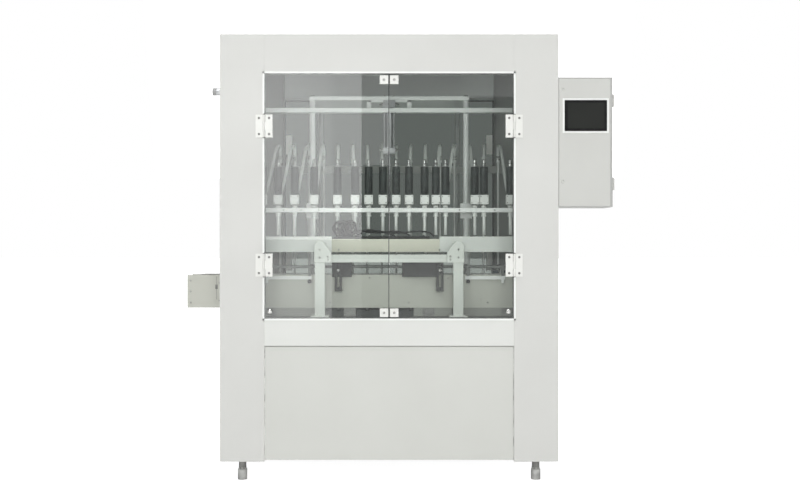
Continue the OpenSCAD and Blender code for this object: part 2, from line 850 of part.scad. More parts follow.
// flat top chain round the two shafts
module conveyor_chain() {
  color("gray") translate([0, conv_y + chain_w / 2, 0]) rotate([90, 0, 0]) linear_extrude(height = chain_w)
    difference() {
      union() {
        translate([tail_x, wheel_z - chain_out]) square([drive_x - tail_x, 2 * chain_out]);
        translate([tail_x, wheel_z]) circle(r = chain_out);
        translate([drive_x, wheel_z]) circle(r = chain_out);
      }
      translate([tail_x, wheel_z - chain_in]) square([drive_x - tail_x, 2 * chain_in]);
      translate([tail_x, wheel_z]) circle(r = chain_in);
      translate([drive_x, wheel_z]) circle(r = chain_in);
    }
}

// wheels on one conveyor shaft
module shaft_wheels(x) {
  for (s = [-1, 1])
    cyl_y(x, wheel_z, conv_y + s * 30 - 8, conv_y + s * 30 + 8, wheel_r);
}

// driven shaft, right end
module drive_shaft() {
  color("dimgray") {
    cyl_y(drive_x, wheel_z, side_y0 - 12, side_y1 + 48, 12.5);
    shaft_wheels(drive_x);
  }
}

// idle shaft, left end
module tail_shaft() {
  color("dimgray") {
    cyl_y(tail_x, wheel_z, side_y0 - 12, side_y1 + 12, 12.5);
    shaft_wheels(tail_x);
  }
}

// round bottle guides on flat bars and posts
module guide_rails() {
  front = side_y0 - side_t;
  back = side_y1 + side_t;
  color("whitesmoke") {
    for (y = [front + 13, back - 13])
      cyl_x(y, rail_z, -hw + 12, conv_x1 - 10, 6);
    blk(-636 * span_k, -391 * span_k, front - 12, front, deck_z + 187, deck_z + 204);
    blk(385 * span_k, 588 * span_k, front - 12, front, deck_z + 187, deck_z + 204);
    for (x = rail_post_x) {
      blk(x - 6, x + 6, front - 12, front, deck_z + 170, rail_z + 6);
      blk(x - 6, x + 6, front, front + 8, rail_z - 6, rail_z + 6);
      blk(x - 6, x + 6, back, back + 12, deck_z + 186, rail_z + 6);
      blk(x - 6, x + 6, back - 8, back, rail_z - 6, rail_z + 6);
    }
  }
}

// gearbox and motor behind the conveyor
module conveyor_gearmotor() {
  y0 = side_y1 + side_t;
  color("gray") difference() {
    union() {
      blk(drive_x - 55, drive_x + 55, y0, y0 + 92, wheel_z - 55, wheel_z + 55);
      cyl_x(y0 + 54, wheel_z, drive_x - 225, drive_x - 55, 52);
      cyl_x(y0 + 54, wheel_z, drive_x - 250, drive_x - 225, 48);
      blk(drive_x - 190, drive_x - 100, y0 + 15, y0 + 85, wheel_z + 40, wheel_z + 78);
    }
    cyl_y(drive_x, wheel_z, y0 - 1, y0 + 48, 12.5 + run_gap);
  }
}

// ---- pump bank ----

// sixteen pump cylinders under the plate, valve heads above it
module pump_cylinders() {
  color("silver")
    for (i = [0 : heads - 1]) {
      difference() {
        cyl_z((i - 7.5) * pitch, riser_y, pump_z0, pump_z1, pump_r);
        cyl_z((i - 7.5) * pitch, riser_y, pump_z0 - 1, pump_z1 - 8, pump_bore + run_gap);
      }
      blk((i - 7.5) * pitch - 25 * span_k, (i - 7.5) * pitch + 25 * span_k, riser_y - 30, riser_y + 30,
        pump_z1 + 12, deck_z - 80);
    }
}

// pistons and rods on their common drive beam
module pump_pistons() {
  color("lightgray") difference() {
    union() {
      for (i = [0 : heads - 1]) {
        cyl_z((i - 7.5) * pitch, riser_y, drive_z1, pump_z1 - 20, 8);
        cyl_z((i - 7.5) * pitch, riser_y, pump_z1 - 34, pump_z1 - 9, pump_bore);
      }
      blk(-guide_x - 25, guide_x + 25, riser_y - 22, riser_y + 22, drive_z0, drive_z1);
      blk(-30, 30, riser_y - 115, riser_y - 22, drive_z0, drive_z1);
      cyl_z(0, riser_y - 90, drive_z1, drive_z1 + 160, 15);
    }
    both_sides() cyl_z(guide_x, riser_y, drive_z0 - 1, drive_z1 + 1, 10 + run_gap);
  }
}

// plate, posts and guide rods that carry the pumps
module pump_frame() {
  color("gray") {
    blk(-rack_x - 30, rack_x + 30, riser_y - 150, foot_y + 15, pump_z1, pump_z1 + 12);
    both_sides() {
      blk(rack_x - 20, rack_x + 20, riser_y - 150, riser_y - 110, zb + base_tube, pump_z1);
      blk(rack_x - 20, rack_x + 20, foot_y - 25, foot_y + 15, zb + base_tube, pump_z1);
      cyl_z(guide_x, riser_y, zb + base_tube, pump_z1, 10);
    }
  }
}

// electric cylinder with its parallel motor
module servo_drive() {
  y = riser_y - 90;
  color("dimgray") difference() {
    union() {
      blk(-45, 45, y - 45, y + 45, drive_z1 + 40, pump_z1);
      blk(-45, 45, y - 135, y - 45, drive_z1 + 120, drive_z1 + 150);
      blk(-38, 38, y - 128, y - 52, drive_z1 + 150, drive_z1 + 300);
    }
    cyl_z(0, y, drive_z1 + 39, drive_z1 + 200, 15 + run_gap);
  }
}

// supply pipe along the pump heads, with the rear inlet ferrule
module product_manifold() {
  y = riser_y - 90;
  color("silver") {
    cyl_x(y, inlet_z, -640 * span_k, inlet_x, 25);
    cyl_y(inlet_x, inlet_z, y, yb + 22, 25);
    cyl_y(inlet_x, inlet_z, yb + 16, yb + 22, 32);
    translate([inlet_x, y, inlet_z]) sphere(r = 25);
    for (i = [0 : heads - 1])
      cyl_y((i - 7.5) * pitch, inlet_z, y + 20, riser_y - 30, 9);
  }
}

// ---- services ----

// air inlet fitting through the left wall, filter regulator inside
module air_inlet() {
  y = yf + 100;
  z = zt - 260;
  color("silver") {
    cyl_x(y, z, -hw - 30, -hw, 18.8);
    cyl_x(y, z, -hw - 50, -hw - 30, 14);
    cyl_x(y, z, -hw, -hw + 20, 12);
    blk(-hw + sheet_t, -hw + 66, y - 24, y + 24, z - 24, z + 24);
    cyl_z(-hw + 36, y, z - 90, z - 24, 20);
    cyl_z(-hw + 36, y, z + 24, z + 56, 16);
  }
}

// rotary isolator knob on the rear stile
module main_switch() {
  color("red") {
    cyl_y(-hw + 110, deck_z + 640, yb, yb + 14, 26);
    blk(-hw + 103, -hw + 117, yb + 14, yb + 32, deck_z + 616, deck_z + 664);
  }
}

front_stile_left();
front_stile_right();
front_header();
front_mid_rail();
front_access_panel();
side_panel_left();
side_panel_right();
roof_panel();
deck_plate();
base_frame();
rear_surround();
rear_service_panel();
foot_pads();
foot_studs();
front_left_door_glass();
front_right_door_glass();
rear_left_door_glass();
rear_right_door_glass();
front_left_door_fittings();
front_right_door_fittings();
rear_left_door_fittings();
rear_right_door_fittings();
hinge_frame_leaves();
magnet_catches();
control_box_shell();
control_box_door();
touch_panel();
control_modules();
cross_rails();
gantry_plate();
guide_columns();
lift_cylinder();
lift_rod();
nozzle_beam();
valve_blocks();
nozzle_actuators();
actuator_fittings();
nozzle_tubes();
shutoff_needles();
product_hoses();
riser_tubes();
portal_frame();
splash_plate();
slotted_brackets();
drip_tray();
tray_beam();
tray_cylinders();
conveyor_frame();
conveyor_chain();
drive_shaft();
tail_shaft();
guide_rails();
conveyor_gearmotor();
pump_cylinders();
pump_pistons();
pump_frame();
servo_drive();
product_manifold();
air_inlet();
main_switch();
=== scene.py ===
import math

import bmesh
import bpy
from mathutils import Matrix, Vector


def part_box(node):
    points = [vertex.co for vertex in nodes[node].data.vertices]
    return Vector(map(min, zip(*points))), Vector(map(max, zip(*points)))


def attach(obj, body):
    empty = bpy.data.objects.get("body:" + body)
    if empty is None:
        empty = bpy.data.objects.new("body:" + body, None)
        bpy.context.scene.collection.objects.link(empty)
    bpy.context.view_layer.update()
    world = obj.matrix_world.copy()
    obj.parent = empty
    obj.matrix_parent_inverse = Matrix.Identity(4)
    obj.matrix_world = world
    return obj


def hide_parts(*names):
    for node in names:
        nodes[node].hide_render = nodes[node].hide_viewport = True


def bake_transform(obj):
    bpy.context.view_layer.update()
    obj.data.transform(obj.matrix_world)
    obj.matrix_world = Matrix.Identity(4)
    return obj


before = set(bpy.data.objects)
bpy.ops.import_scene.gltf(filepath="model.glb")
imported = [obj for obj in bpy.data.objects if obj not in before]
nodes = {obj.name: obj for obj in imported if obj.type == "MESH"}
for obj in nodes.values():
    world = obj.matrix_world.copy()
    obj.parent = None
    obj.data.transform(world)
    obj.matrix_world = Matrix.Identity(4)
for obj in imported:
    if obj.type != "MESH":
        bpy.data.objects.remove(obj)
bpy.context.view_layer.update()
UP, FRONT = (0, 0, 1), (0, -1, 0)

# ---- Camera ----
# The machine is seen square from the front, a little above half its height,
# from five metres before the doors.
front_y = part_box("front_header")[0][1]
camera_distance, camera_height = 5.0, 1.147
camera_data = bpy.data.cameras.new("camera")
camera_data.sensor_width = 36.0
camera_data.lens = 47.67
camera_data.shift_x = 0.0136
camera_data.shift_y = -0.0125
camera = bpy.data.objects.new("camera", camera_data)
camera.location = (0.0, front_y - camera_distance, camera_height)
camera.rotation_euler = (math.radians(90), 0, 0)
bpy.context.scene.collection.objects.link(camera)
bpy.context.scene.camera = camera

# ---- Product hoses ----
# Sixteen clear PVC hoses, 17 mm outside. Each is pushed on the tail of a riser at the back,
# bends over forwards and drops to the back of its valve block, which lifts and lowers.
hose_d = 0.017
riser_pitch = 0.08
inlet_above_tip = 0.181
riser_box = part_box("riser_tubes")
block_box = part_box("valve_blocks")
riser_y = (riser_box[0][1] + riser_box[1][1]) / 2
riser_top = riser_box[1][2]
head_y = (block_box[0][1] + block_box[1][1]) / 2
tip_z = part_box("nozzle_tubes")[0][2]
head_x = [x / 1000 for x in (-650, -570, -485, -385, -265, -175, -105, -32,
                             36, 102, 182, 240, 290, 440, 487, 622)]
riser_x = [(i - 7.5) * riser_pitch for i in range(len(head_x))]


def hose_route(a, b):
    """Route from the riser at x = a, up and over, to the head at x = b."""
    return [Vector(p) for p in (
        (a, riser_y, riser_top + 0.0005),
        (a, riser_y - 0.022, riser_top + 0.062),
        (a + 0.25 * (b - a), riser_y - 0.118, riser_top + 0.028),
        (a + 0.7 * (b - a), riser_y - 0.245, tip_z + 0.277),
        (b, head_y + 0.0224, tip_z + inlet_above_tip))]


def smooth_route(points, steps, first=None, last=None):
    """Catmull-Rom line through the points; first and last are the end directions."""
    before = points[0] * 2 - points[1] if first is None else points[1] - first * 2
    after = points[-1] * 2 - points[-2] if last is None else points[-2] + last * 2
    track = [before] + points + [after]
    line = []
    for a, b, c, d in zip(track, track[1:], track[2:], track[3:]):
        for k in range(steps):
            t = k / steps
            line.append(0.5 * (2 * b + (c - a) * t + (2 * a - 5 * b + 4 * c - d) * t ** 2
                               + (3 * b - a - 3 * c + d) * t ** 3))
    return line + [points[-1]]


def side_of(along):
    """An axis that is well away from the direction along."""
    return Vector((1, 0, 0)) if abs(along.x) < 0.8 else Vector((0, 1, 0))


def close_rings(bm, low, high, smooth=True):
    """Skins the gap between two rings of points."""
    count = len(low)
    for k in range(count):
        bm.faces.new((low[k], low[(k + 1) % count], high[(k + 1) % count], high[k])).smooth = smooth


def skin_rings(bm, rings, smooth=True):
    """Skins a row of rings of points and closes both ends."""
    for low, high in zip(rings, rings[1:]):
        close_rings(bm, low, high, smooth)
    bm.faces.new(rings[0][::-1])
    bm.faces.new(rings[-1])


def sweep(bm, line, radius, sides=14, ribs=0.0):
    """Tube along a line. ribs widens every second ring, as on a corrugated conduit."""
    side = side_of((line[1] - line[0]).normalized())
    rings = []
    for i, point in enumerate(line):
        along = (line[min(i + 1, len(line) - 1)] - line[max(i - 1, 0)]).normalized()
        side = (side - along * side.dot(along)).normalized()
        up = along.cross(side)
        r = radius + (ribs if i % 2 else 0.0)
        rings.append([bm.verts.new(point + r * (math.cos(t) * side + math.sin(t) * up))
                      for t in (2 * math.pi * k / sides for k in range(sides))])
    skin_rings(bm, rings)


def mesh_piece(name, bm, material, body=None):
    """Turns a bmesh into a piece, gives it its material and hangs it on its body."""
    bmesh.ops.recalc_face_normals(bm, faces=bm.faces)
    mesh = bpy.data.meshes.new(name)
    bm.to_mesh(mesh)
    bm.free()
    mesh.materials.append(material)
    piece = bpy.data.objects.new(name, mesh)
    bpy.context.scene.collection.objects.link(piece)
    if body:
        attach(piece, body)
    return piece


def blank_material(name):
    material = bpy.data.materials.new(name)
    material.use_nodes = True
    tree = material.node_tree
    return material, tree, tree.nodes["Principled BSDF"]


def node(tree, kind, **settings):
    made = tree.nodes.new(kind)
    for key, value in settings.items():
        setattr(made, key, value)
    return made


def cloudiness_group():
    """Slow patches and fine specks over a surface: a mask, and a height for bump."""
    group = bpy.data.node_groups.new("cloudiness", "ShaderNodeTree")
    face = group.interface
    for name, value in (("Patch Size", 4.0), ("Speck Size", 300.0)):
        face.new_socket(name, in_out="INPUT", socket_type="NodeSocketFloat").default_value = value
    for name in ("Patches", "Specks"):
        face.new_socket(name, in_out="OUTPUT", socket_type="NodeSocketFloat")
    inside, outside = group.nodes.new("NodeGroupInput"), group.nodes.new("NodeGroupOutput")
    place = group.nodes.new("ShaderNodeTexCoord")
    for size, out, detail in (("Patch Size", "Patches", 4.0), ("Speck Size", "Specks", 2.0)):
        noise = group.nodes.new("ShaderNodeTexNoise")
        noise.inputs["Detail"].default_value = detail
        group.links.new(place.outputs["Object"], noise.inputs["Vector"])
        group.links.new(inside.outputs[size], noise.inputs["Scale"])
        group.links.new(noise.outputs["Fac"], outside.inputs[out])
    return group


cloudiness = cloudiness_group()


def place_cloudiness(tree, patch, speck):
    group = node(tree, "ShaderNodeGroup", node_tree=cloudiness)
    group.inputs["Patch Size"].default_value = patch
    group.inputs["Speck Size"].default_value = speck
    return group


def spread(tree, source, low, high):
    """A mask stretched to run from low to high."""
    ramp = node(tree, "ShaderNodeMapRange")
    ramp.inputs["From Min"].default_value = 0.3
    ramp.inputs["From Max"].default_value = 0.7
    ramp.inputs["To Min"].default_value = low
    ramp.inputs["To Max"].default_value = high
    tree.links.new(source, ramp.inputs["Value"])
    return ramp.outputs["Result"]


def colour_between(tree, shader, mask, first, second):
    """Base colour that drifts from first to second with the mask."""
    mix = node(tree, "ShaderNodeMix", data_type="RGBA")
    mix.inputs[6].default_value = (*first, 1)
    mix.inputs[7].default_value = (*second, 1)
    tree.links.new(spread(tree, mask, 0, 1), mix.inputs[0])
    tree.links.new(mix.outputs[2], shader.inputs["Base Color"])


def rough_between(tree, shader, mask, low, high):
    tree.links.new(spread(tree, mask, low, high), shader.inputs["Roughness"])


def add_bump(tree, shader, source, distance, strength=0.3):
    bump = node(tree, "ShaderNodeBump")
    bump.inputs["Strength"].default_value = strength
    bump.inputs["Distance"].default_value = distance
    tree.links.new(source, bump.inputs["Height"])
    tree.links.new(bump.outputs["Normal"], shader.inputs["Normal"])


def pass_shadows(tree, shader, tint):
    """Lets light and bounced light through, so what stands behind is lit."""
    path = node(tree, "ShaderNodeLightPath")
    either = node(tree, "ShaderNodeMath", operation="MAXIMUM")
    clear = node(tree, "ShaderNodeBsdfTransparent")
    clear.inputs["Color"].default_value = (*tint, 1)
    mix = node(tree, "ShaderNodeMixShader")
    tree.links.new(path.outputs["Is Shadow Ray"], either.inputs[0])
    tree.links.new(path.outputs["Is Diffuse Ray"], either.inputs[1])
    tree.links.new(either.outputs[0], mix.inputs[0])
    tree.links.new(shader.outputs[0], mix.inputs[1])
    tree.links.new(clear.outputs[0], mix.inputs[2])
    tree.links.new(mix.outputs[0], tree.nodes["Material Output"].inputs["Surface"])


def clear_hose_material():
    material, tree, shader = blank_material("clear_pvc_hose")
    cloud = place_cloudiness(tree, 18.0, 260.0)
    colour_between(tree, shader, cloud.outputs["Patches"], (0.93, 0.95, 0.93), (0.84, 0.87, 0.85))
    rough_between(tree, shader, cloud.outputs["Specks"], 0.14, 0.26)
    shader.inputs["Transmission Weight"].default_value = 0.25
    shader.inputs["IOR"].default_value = 1.3
    add_bump(tree, shader, cloud.outputs["Specks"], 0.0004)
    pass_shadows(tree, shader, (0.75, 0.78, 0.75))
    return material


hose_material = clear_hose_material()
for number, (a, b) in enumerate(zip(riser_x, head_x), 1):
    line = smooth_route(hose_route(a, b), 7, first=Vector((0, 0, 0.06)), last=Vector((0, -0.09, 0)))
    bm = bmesh.new()
    sweep(bm, line, hose_d / 2)
    hose = mesh_piece(f"product_hose_{number}", bm, hose_material)
    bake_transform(hose)
    if number == 1:
        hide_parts("product_hoses")

# ---- Cable on the splash plate ----
# Black corrugated conduit that lies along the top edge of the splash plate. The spare ends of
# three rubber sensor cables are coiled in loose loops at its left end.
splash_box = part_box("splash_plate")
conduit_y = (splash_box[0][1] + splash_box[1][1]) / 2
conduit_z = splash_box[1][2] + 0.0075


def moulded_material(name, colour, rough):
    """Rubber or moulded plastic: paler worn patches and a fine pebbled skin."""
    material, tree, shader = blank_material(name)
    cloud = place_cloudiness(tree, 25.0, 700.0)
    lighter = tuple(c * 1.9 + 0.01 for c in colour)
    colour_between(tree, shader, cloud.outputs["Patches"], colour, lighter)
    rough_between(tree, shader, cloud.outputs["Specks"], rough - 0.1, rough + 0.1)
    add_bump(tree, shader, cloud.outputs["Specks"], 0.0003)
    return material


cable_black = moulded_material("cable_black", (0.015, 0.016, 0.016), 0.5)
splash_left, splash_right = splash_box[0][0], splash_box[1][0]
conduit_points = [Vector(p) for p in (
    (splash_left + 0.004, conduit_y + 0.03, conduit_z - 0.02),
    (splash_left + 0.03, conduit_y + 0.008, conduit_z),
    (splash_left + 0.14, conduit_y + 0.003, conduit_z),
    (0.0, conduit_y + 0.005, conduit_z),
    (splash_right - 0.12, conduit_y + 0.003, conduit_z),
    (splash_right - 0.05, conduit_y + 0.006, conduit_z))]
conduit_line = smooth_route(conduit_points, 30)
bm = bmesh.new()
sweep(bm, conduit_line, 0.0065, sides=12, ribs=0.001)
mesh_piece("splash_conduit", bm, cable_black, "cabinet")


def curled(number, turns, size, rise):
    """Spare sensor cable: uneven loops at the left end, which end heading right."""
    spots = []
    steps = turns * 8 + 6 - number
    for k in range(steps + 1):
        a = 2 * math.pi * k / 8 + number
        drift = 0.075 * k / steps
        radius = size * (1 + 0.12 * math.sin(2.3 * a + number))
        spots.append(Vector((splash_left + 0.032 + drift + radius * math.cos(a),
                             conduit_y + 0.018 + 0.009 * number + 0.004 * math.sin(a / 2),
                             conduit_z + rise + radius * math.sin(a) * 1.1)))
    return spots


# turns, loop radius, height of the loops, cable radius and run along the plate
for number, (turns, size, rise, thick, reach) in enumerate((
        (3, 0.029, 0.048, 0.0042, 0.37), (2, 0.026, 0.057, 0.0038, 0.25),
        (3, 0.031, 0.038, 0.0038, 0.16))):
    points = curled(number, turns, size, rise)
    tail = points[-1]
    for k in range(1, 7):
        f = k / 6
        points.append(Vector((tail.x + 0.012 + reach * f, tail.y + (conduit_y + 0.012 - tail.y) * f,
                              conduit_z + 0.034 - 0.01 * f + 0.006 * math.sin(9 * f + number))))
    points.append(Vector((points[-1].x + 0.03, conduit_y + 0.006, conduit_z + 0.005)))
    line = smooth_route(points, 6)
    bm = bmesh.new()
    sweep(bm, line, thick, sides=9)
    cable = mesh_piece(f"sensor_cable_{number + 1}", bm, cable_black, "cabinet")

# ---- Base frame, feet and deck ----
# Welded square tube under a stainless deck, painted grey. It stands on four levelling feet:
# pale rubber pads, dark sleeves over the studs, and a lock nut under each corner.


def soften(name, width, segments=2):
    """Breaks the sharp edges of a CAD node, as folding, milling or moulding leaves them."""
    made = nodes[name]
    weld = made.modifiers.new("joined", "WELD")
    weld.merge_threshold = 0.00005
    edge = made.modifiers.new("broken edges", "BEVEL")
    edge.width = width
    edge.segments = segments
    edge.limit_method = "ANGLE"
    edge.angle_limit = math.radians(40)
    edge.use_clamp_overlap = True
    edge.harden_normals = True


def finish_node(material, *names, edge=0.0, flat=False):
    """Gives CAD nodes their material, and softened edges where edge is above zero."""
    for name in names:
        data = nodes[name].data
        data.materials.clear()
        data.materials.append(material)
        for face in data.polygons:
            face.material_index = 0
            if flat:
                face.use_smooth = False
        if edge:
            soften(name, edge)


def painted_material(name, colour, shade, rough=0.42, coat=0.15, grain=520.0):
    """Paint with a fine orange peel, slow drifts of tone and duller handled patches."""
    material, tree, shader = blank_material(name)
    cloud = place_cloudiness(tree, 2.6, grain)
    colour_between(tree, shader, cloud.outputs["Patches"], colour, shade)
    rough_between(tree, shader, cloud.outputs["Patches"], rough - 0.06, rough + 0.08)
    shader.inputs["Coat Weight"].default_value = coat
    shader.inputs["Coat Roughness"].default_value = 0.25
    add_bump(tree, shader, cloud.outputs["Specks"], 0.0004, 0.12)
    return material


def brushing_group():
    """Long fine scratches along one direction: the scale is large across them."""
    group = bpy.data.node_groups.new("brushing", "ShaderNodeTree")
    face = group.interface
    face.new_socket("Scale", in_out="INPUT", socket_type="NodeSocketVector").default_value = (3, 3, 900)
    face.new_socket("Scratches", in_out="OUTPUT", socket_type="NodeSocketFloat")
    inside, outside = group.nodes.new("NodeGroupInput"), group.nodes.new("NodeGroupOutput")
    place = group.nodes.new("ShaderNodeTexCoord")
    stretch = group.nodes.new("ShaderNodeVectorMath")
    stretch.operation = "MULTIPLY"
    noise = group.nodes.new("ShaderNodeTexNoise")
    noise.inputs["Scale"].default_value = 1.0
    noise.inputs["Detail"].default_value = 3.0
    group.links.new(place.outputs["Object"], stretch.inputs[0])
    group.links.new(inside.outputs["Scale"], stretch.inputs[1])
    group.links.new(stretch.outputs[0], noise.inputs["Vector"])
    group.links.new(noise.outputs["Fac"], outside.inputs["Scratches"])
    return group


brushing = brushing_group()


def steel_material(name, colour, shade, scale, rough=0.3, metallic=1.0):
    """Brushed or drawn metal: streaks in tone, roughness and relief."""
    material, tree, shader = blank_material(name)
    streak = node(tree, "ShaderNodeGroup", node_tree=brushing)
    streak.inputs["Scale"].default_value = scale
    cloud = place_cloudiness(tree, 6.0, 400.0)
    both = node(tree, "ShaderNodeMath", operation="MULTIPLY_ADD")
    both.inputs[1].default_value = 0.5
    tree.links.new(cloud.outputs["Patches"], both.inputs[0])
    half = node(tree, "ShaderNodeMath", operation="MULTIPLY")
    half.inputs[1].default_value = 0.5
    tree.links.new(streak.outputs["Scratches"], half.inputs[0])
    tree.links.new(half.outputs[0], both.inputs[2])
    colour_between(tree, shader, both.outputs[0], colour, shade)
    shader.inputs["Metallic"].default_value = metallic
    rough_between(tree, shader, streak.outputs["Scratches"], rough - 0.08, rough + 0.1)
    add_bump(tree, shader, streak.outputs["Scratches"], 0.0002, 0.2)
    return material


frame_grey = painted_material("frame_grey_paint", (0.26, 0.27, 0.26), (0.21, 0.22, 0.21))
deck_steel = steel_material("deck_brushed_stainless", (0.33, 0.335, 0.33), (0.26, 0.265, 0.26),
                            (3, 700, 700), 0.34)
pad_rubber = moulded_material("foot_pad_rubber", (0.36, 0.36, 0.35), 0.6)
sleeve_dark = moulded_material("foot_sleeve_dark", (0.16, 0.16, 0.152), 0.5)
finish_node(frame_grey, "base_frame", edge=0.0015)
finish_node(deck_steel, "deck_plate", edge=0.0008)
finish_node(pad_rubber, "foot_pads", edge=0.003)
finish_node(sleeve_dark, "foot_studs", edge=0.0012)


def turned(bm, base, along, profile, sides=20, hollow=False):
    """Lathe-turned form: profile is (radius, distance along) from base. hollow keeps a bore."""
    along = Vector(along).normalized()
    side = side_of(along)
    side = (side - along * side.dot(along)).normalized()
    up = along.cross(side)
    rings = []
    for r, h in profile:
        centre, r = Vector(base) + along * h, max(r, 0.0001)
        rings.append([bm.verts.new(centre + r * (math.cos(t) * side + math.sin(t) * up))
                      for t in (2 * math.pi * (k + 0.5) / sides for k in range(sides))])
    if not hollow:
        skin_rings(bm, rings, sides > 8)
        return
    for low, high in zip(rings, rings[1:]):
        close_rings(bm, low, high, sides > 8)
    close_rings(bm, rings[-1], rings[0], False)


def prism(bm, corners, low_shift, high_shift):
    """Solid between two shifted copies of a flat outline."""
    skin_rings(bm, [[bm.verts.new(c + shift) for c in corners]
                    for shift in (low_shift, high_shift)], False)


def repaint(name, material, axis, place, side=1):
    """Second material for the faces of a CAD node on one side of a place along an axis."""
    data = nodes[name].data
    data.materials.append(material)
    for face in data.polygons:
        face.material_index = 1 if side * (face.center[axis] - place) > 0 else 0


def block(bm, low, high, bevel=0.0):
    """Block with chamfered edges."""
    made = bmesh.ops.create_cube(bm, size=1.0)["verts"]
    low, high = Vector(low), Vector(high)
    for v in made:
        v.co = Vector(((low.x + high.x) / 2 + v.co.x * (high.x - low.x), (low.y + high.y) / 2
                       + v.co.y * (high.y - low.y), (low.z + high.z) / 2 + v.co.z * (high.z - low.z)))
    if bevel:
        edges = list(dict.fromkeys(e for v in made for e in v.link_edges))
        bmesh.ops.bevel(bm, geom=edges, offset=bevel, segments=2, affect="EDGES", profile=0.6)


def blocks_piece(name, material, body, slot, bevel, *blocks):
    """A piece made of chamfered blocks, each given by its low and high corner."""
    bm = bmesh.new()
    for low, high in blocks:
        block(bm, low, high, bevel)
    return mesh_piece(name, bm, material, body)


foot_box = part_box("foot_studs")
foot_r = 0.018
foot_x, foot_y = foot_box[1][0] - foot_r, foot_box[1][1] - foot_r
bm = bmesh.new()
for x in (-foot_x, foot_x):
    for y in (-foot_y, foot_y):
        for z, r, tall in ((0.0495, 0.0205, 0.01), (0.088, 0.0225, 0.0115)):
            turned(bm, (x, y, z), UP, [(0, 0), (r - 0.001, 0), (r, 0.001), (r, tall - 0.001),
                                       (r - 0.001, tall), (0, tall)], 6)
nut_zinc = steel_material("nut_zinc", (0.5, 0.5, 0.48), (0.4, 0.4, 0.39), (300, 300, 300), 0.35)
mesh_piece("foot_lock_nuts", bm, nut_zinc, "cabinet")

# ---- Cabinet sheets ----
# Folded steel stiles, header, rails, side walls and roof, powder coated in a pale warm grey.
# The mid rail is a shade whiter and the access panel a shade darker, being later sheets.
cabinet_paint = painted_material("cabinet_powder_coat", (0.622, 0.622, 0.6), (0.602, 0.602, 0.58))
rail_paint = painted_material("mid_rail_powder_coat", (0.683, 0.69, 0.664), (0.663, 0.67, 0.644))
panel_paint = painted_material("access_panel_powder_coat", (0.608, 0.613, 0.581), (0.584, 0.589, 0.557))
# Painted shade: the inner faces of the side walls, rear surround and roof take a darker grey than the
# outside, for the shade inside the cabinet.
inner_shade_paint = painted_material("inner_wall_painted_shade", (0.37, 0.385, 0.37), (0.32, 0.335, 0.32), 0.5)
finish_node(cabinet_paint, "front_stile_left", "front_stile_right", "front_header", "rear_surround",
            "rear_service_panel", "roof_panel", edge=0.0016, flat=True)
finish_node(cabinet_paint, "side_panel_left", "side_panel_right", flat=True)
finish_node(rail_paint, "front_mid_rail", edge=0.0016, flat=True)
finish_node(panel_paint, "front_access_panel", edge=0.0016, flat=True)
rear_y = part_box("rear_surround")[1][1]


def paint_inside(name, *outer):
    """Painted shade: a darker grey on every face of a sheet but its outer skins, given as (axis,
    place).
    """
    sheet = nodes[name].data
    sheet.materials.append(inner_shade_paint)
    for face in sheet.polygons:
        if all(abs(face.center[axis] - place) > 0.0012 for axis, place in outer):
            face.material_index = 1


low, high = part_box("rear_surround")
paint_inside("side_panel_left", (0, low.x))
paint_inside("side_panel_right", (0, high.x))
paint_inside("rear_surround", (1, rear_y), (0, low.x), (0, high.x), (2, low.z), (2, high.z))
paint_inside("roof_panel", (2, high.z))
header_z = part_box("rear_left_door_glass")[1].z
rear_sheet = nodes["rear_surround"].data
# Painted light: the inner faces above the top of the door glass take a much paler grey than the rest of
# the inside, for the light falling on them.
rear_sheet.materials.append(painted_material("inner_header_painted_light", (0.8, 0.83, 0.81),
                                             (0.74, 0.77, 0.75), 0.5))
for face in rear_sheet.polygons:
    if face.material_index == 1 and face.center.z > header_z - 0.002:
        face.material_index = 2

# The opening is a little larger than the glass that closes it.
win_low, win_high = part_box("front_left_door_glass")[0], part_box("front_right_door_glass")[1]
win_x, win_z0, win_z1 = -win_low.x + 0.0015, win_low.z - 0.0025, win_high.z + 0.0025


def window_lip(bm, y, out, seal):
    """Folded lip round the glass, or with seal the rubber that the glass closes on."""
    wide = 0.0 if seal else 0.0075
    proud = 0.004 if seal else 0.0022
    inner = -0.0065 if seal else -0.0015
    for x0, x1, z0, z1 in ((-win_x - wide, win_x + wide, win_z1 + inner, win_z1 + wide),
                           (-win_x - wide, win_x + wide, win_z0 - wide, win_z0 - inner),
                           (-win_x - wide, -win_x - inner, win_z0 - wide, win_z1 + wide),
                           (win_x + inner, win_x + wide, win_z0 - wide, win_z1 + wide)):
        y0, y1 = sorted((y, y + out * proud))
        block(bm, (x0, y0, z0), (x1, y1, z1), min(proud, wide) * 0.3)


def screw(bm, place, along, radius, height=0.0025, hexagon=True):
    """Domed screw head with a drive recess."""
    r = radius
    turned(bm, place, along,
           [(0.0, -0.0002), (r * 0.97, -0.0002), (r, height * 0.35), (r * 0.86, height * 0.78),
            (r * 0.52, height), (r * 0.48, height * 0.45), (0.0, height * 0.42)], 14)
    if hexagon:
        turned(bm, place, along,
               [(r * 0.46, height * 0.5), (r * 0.46, height * 0.98), (r * 0.38, height * 0.98),
                (r * 0.38, height * 0.44), (0.0, height * 0.43)], 6)


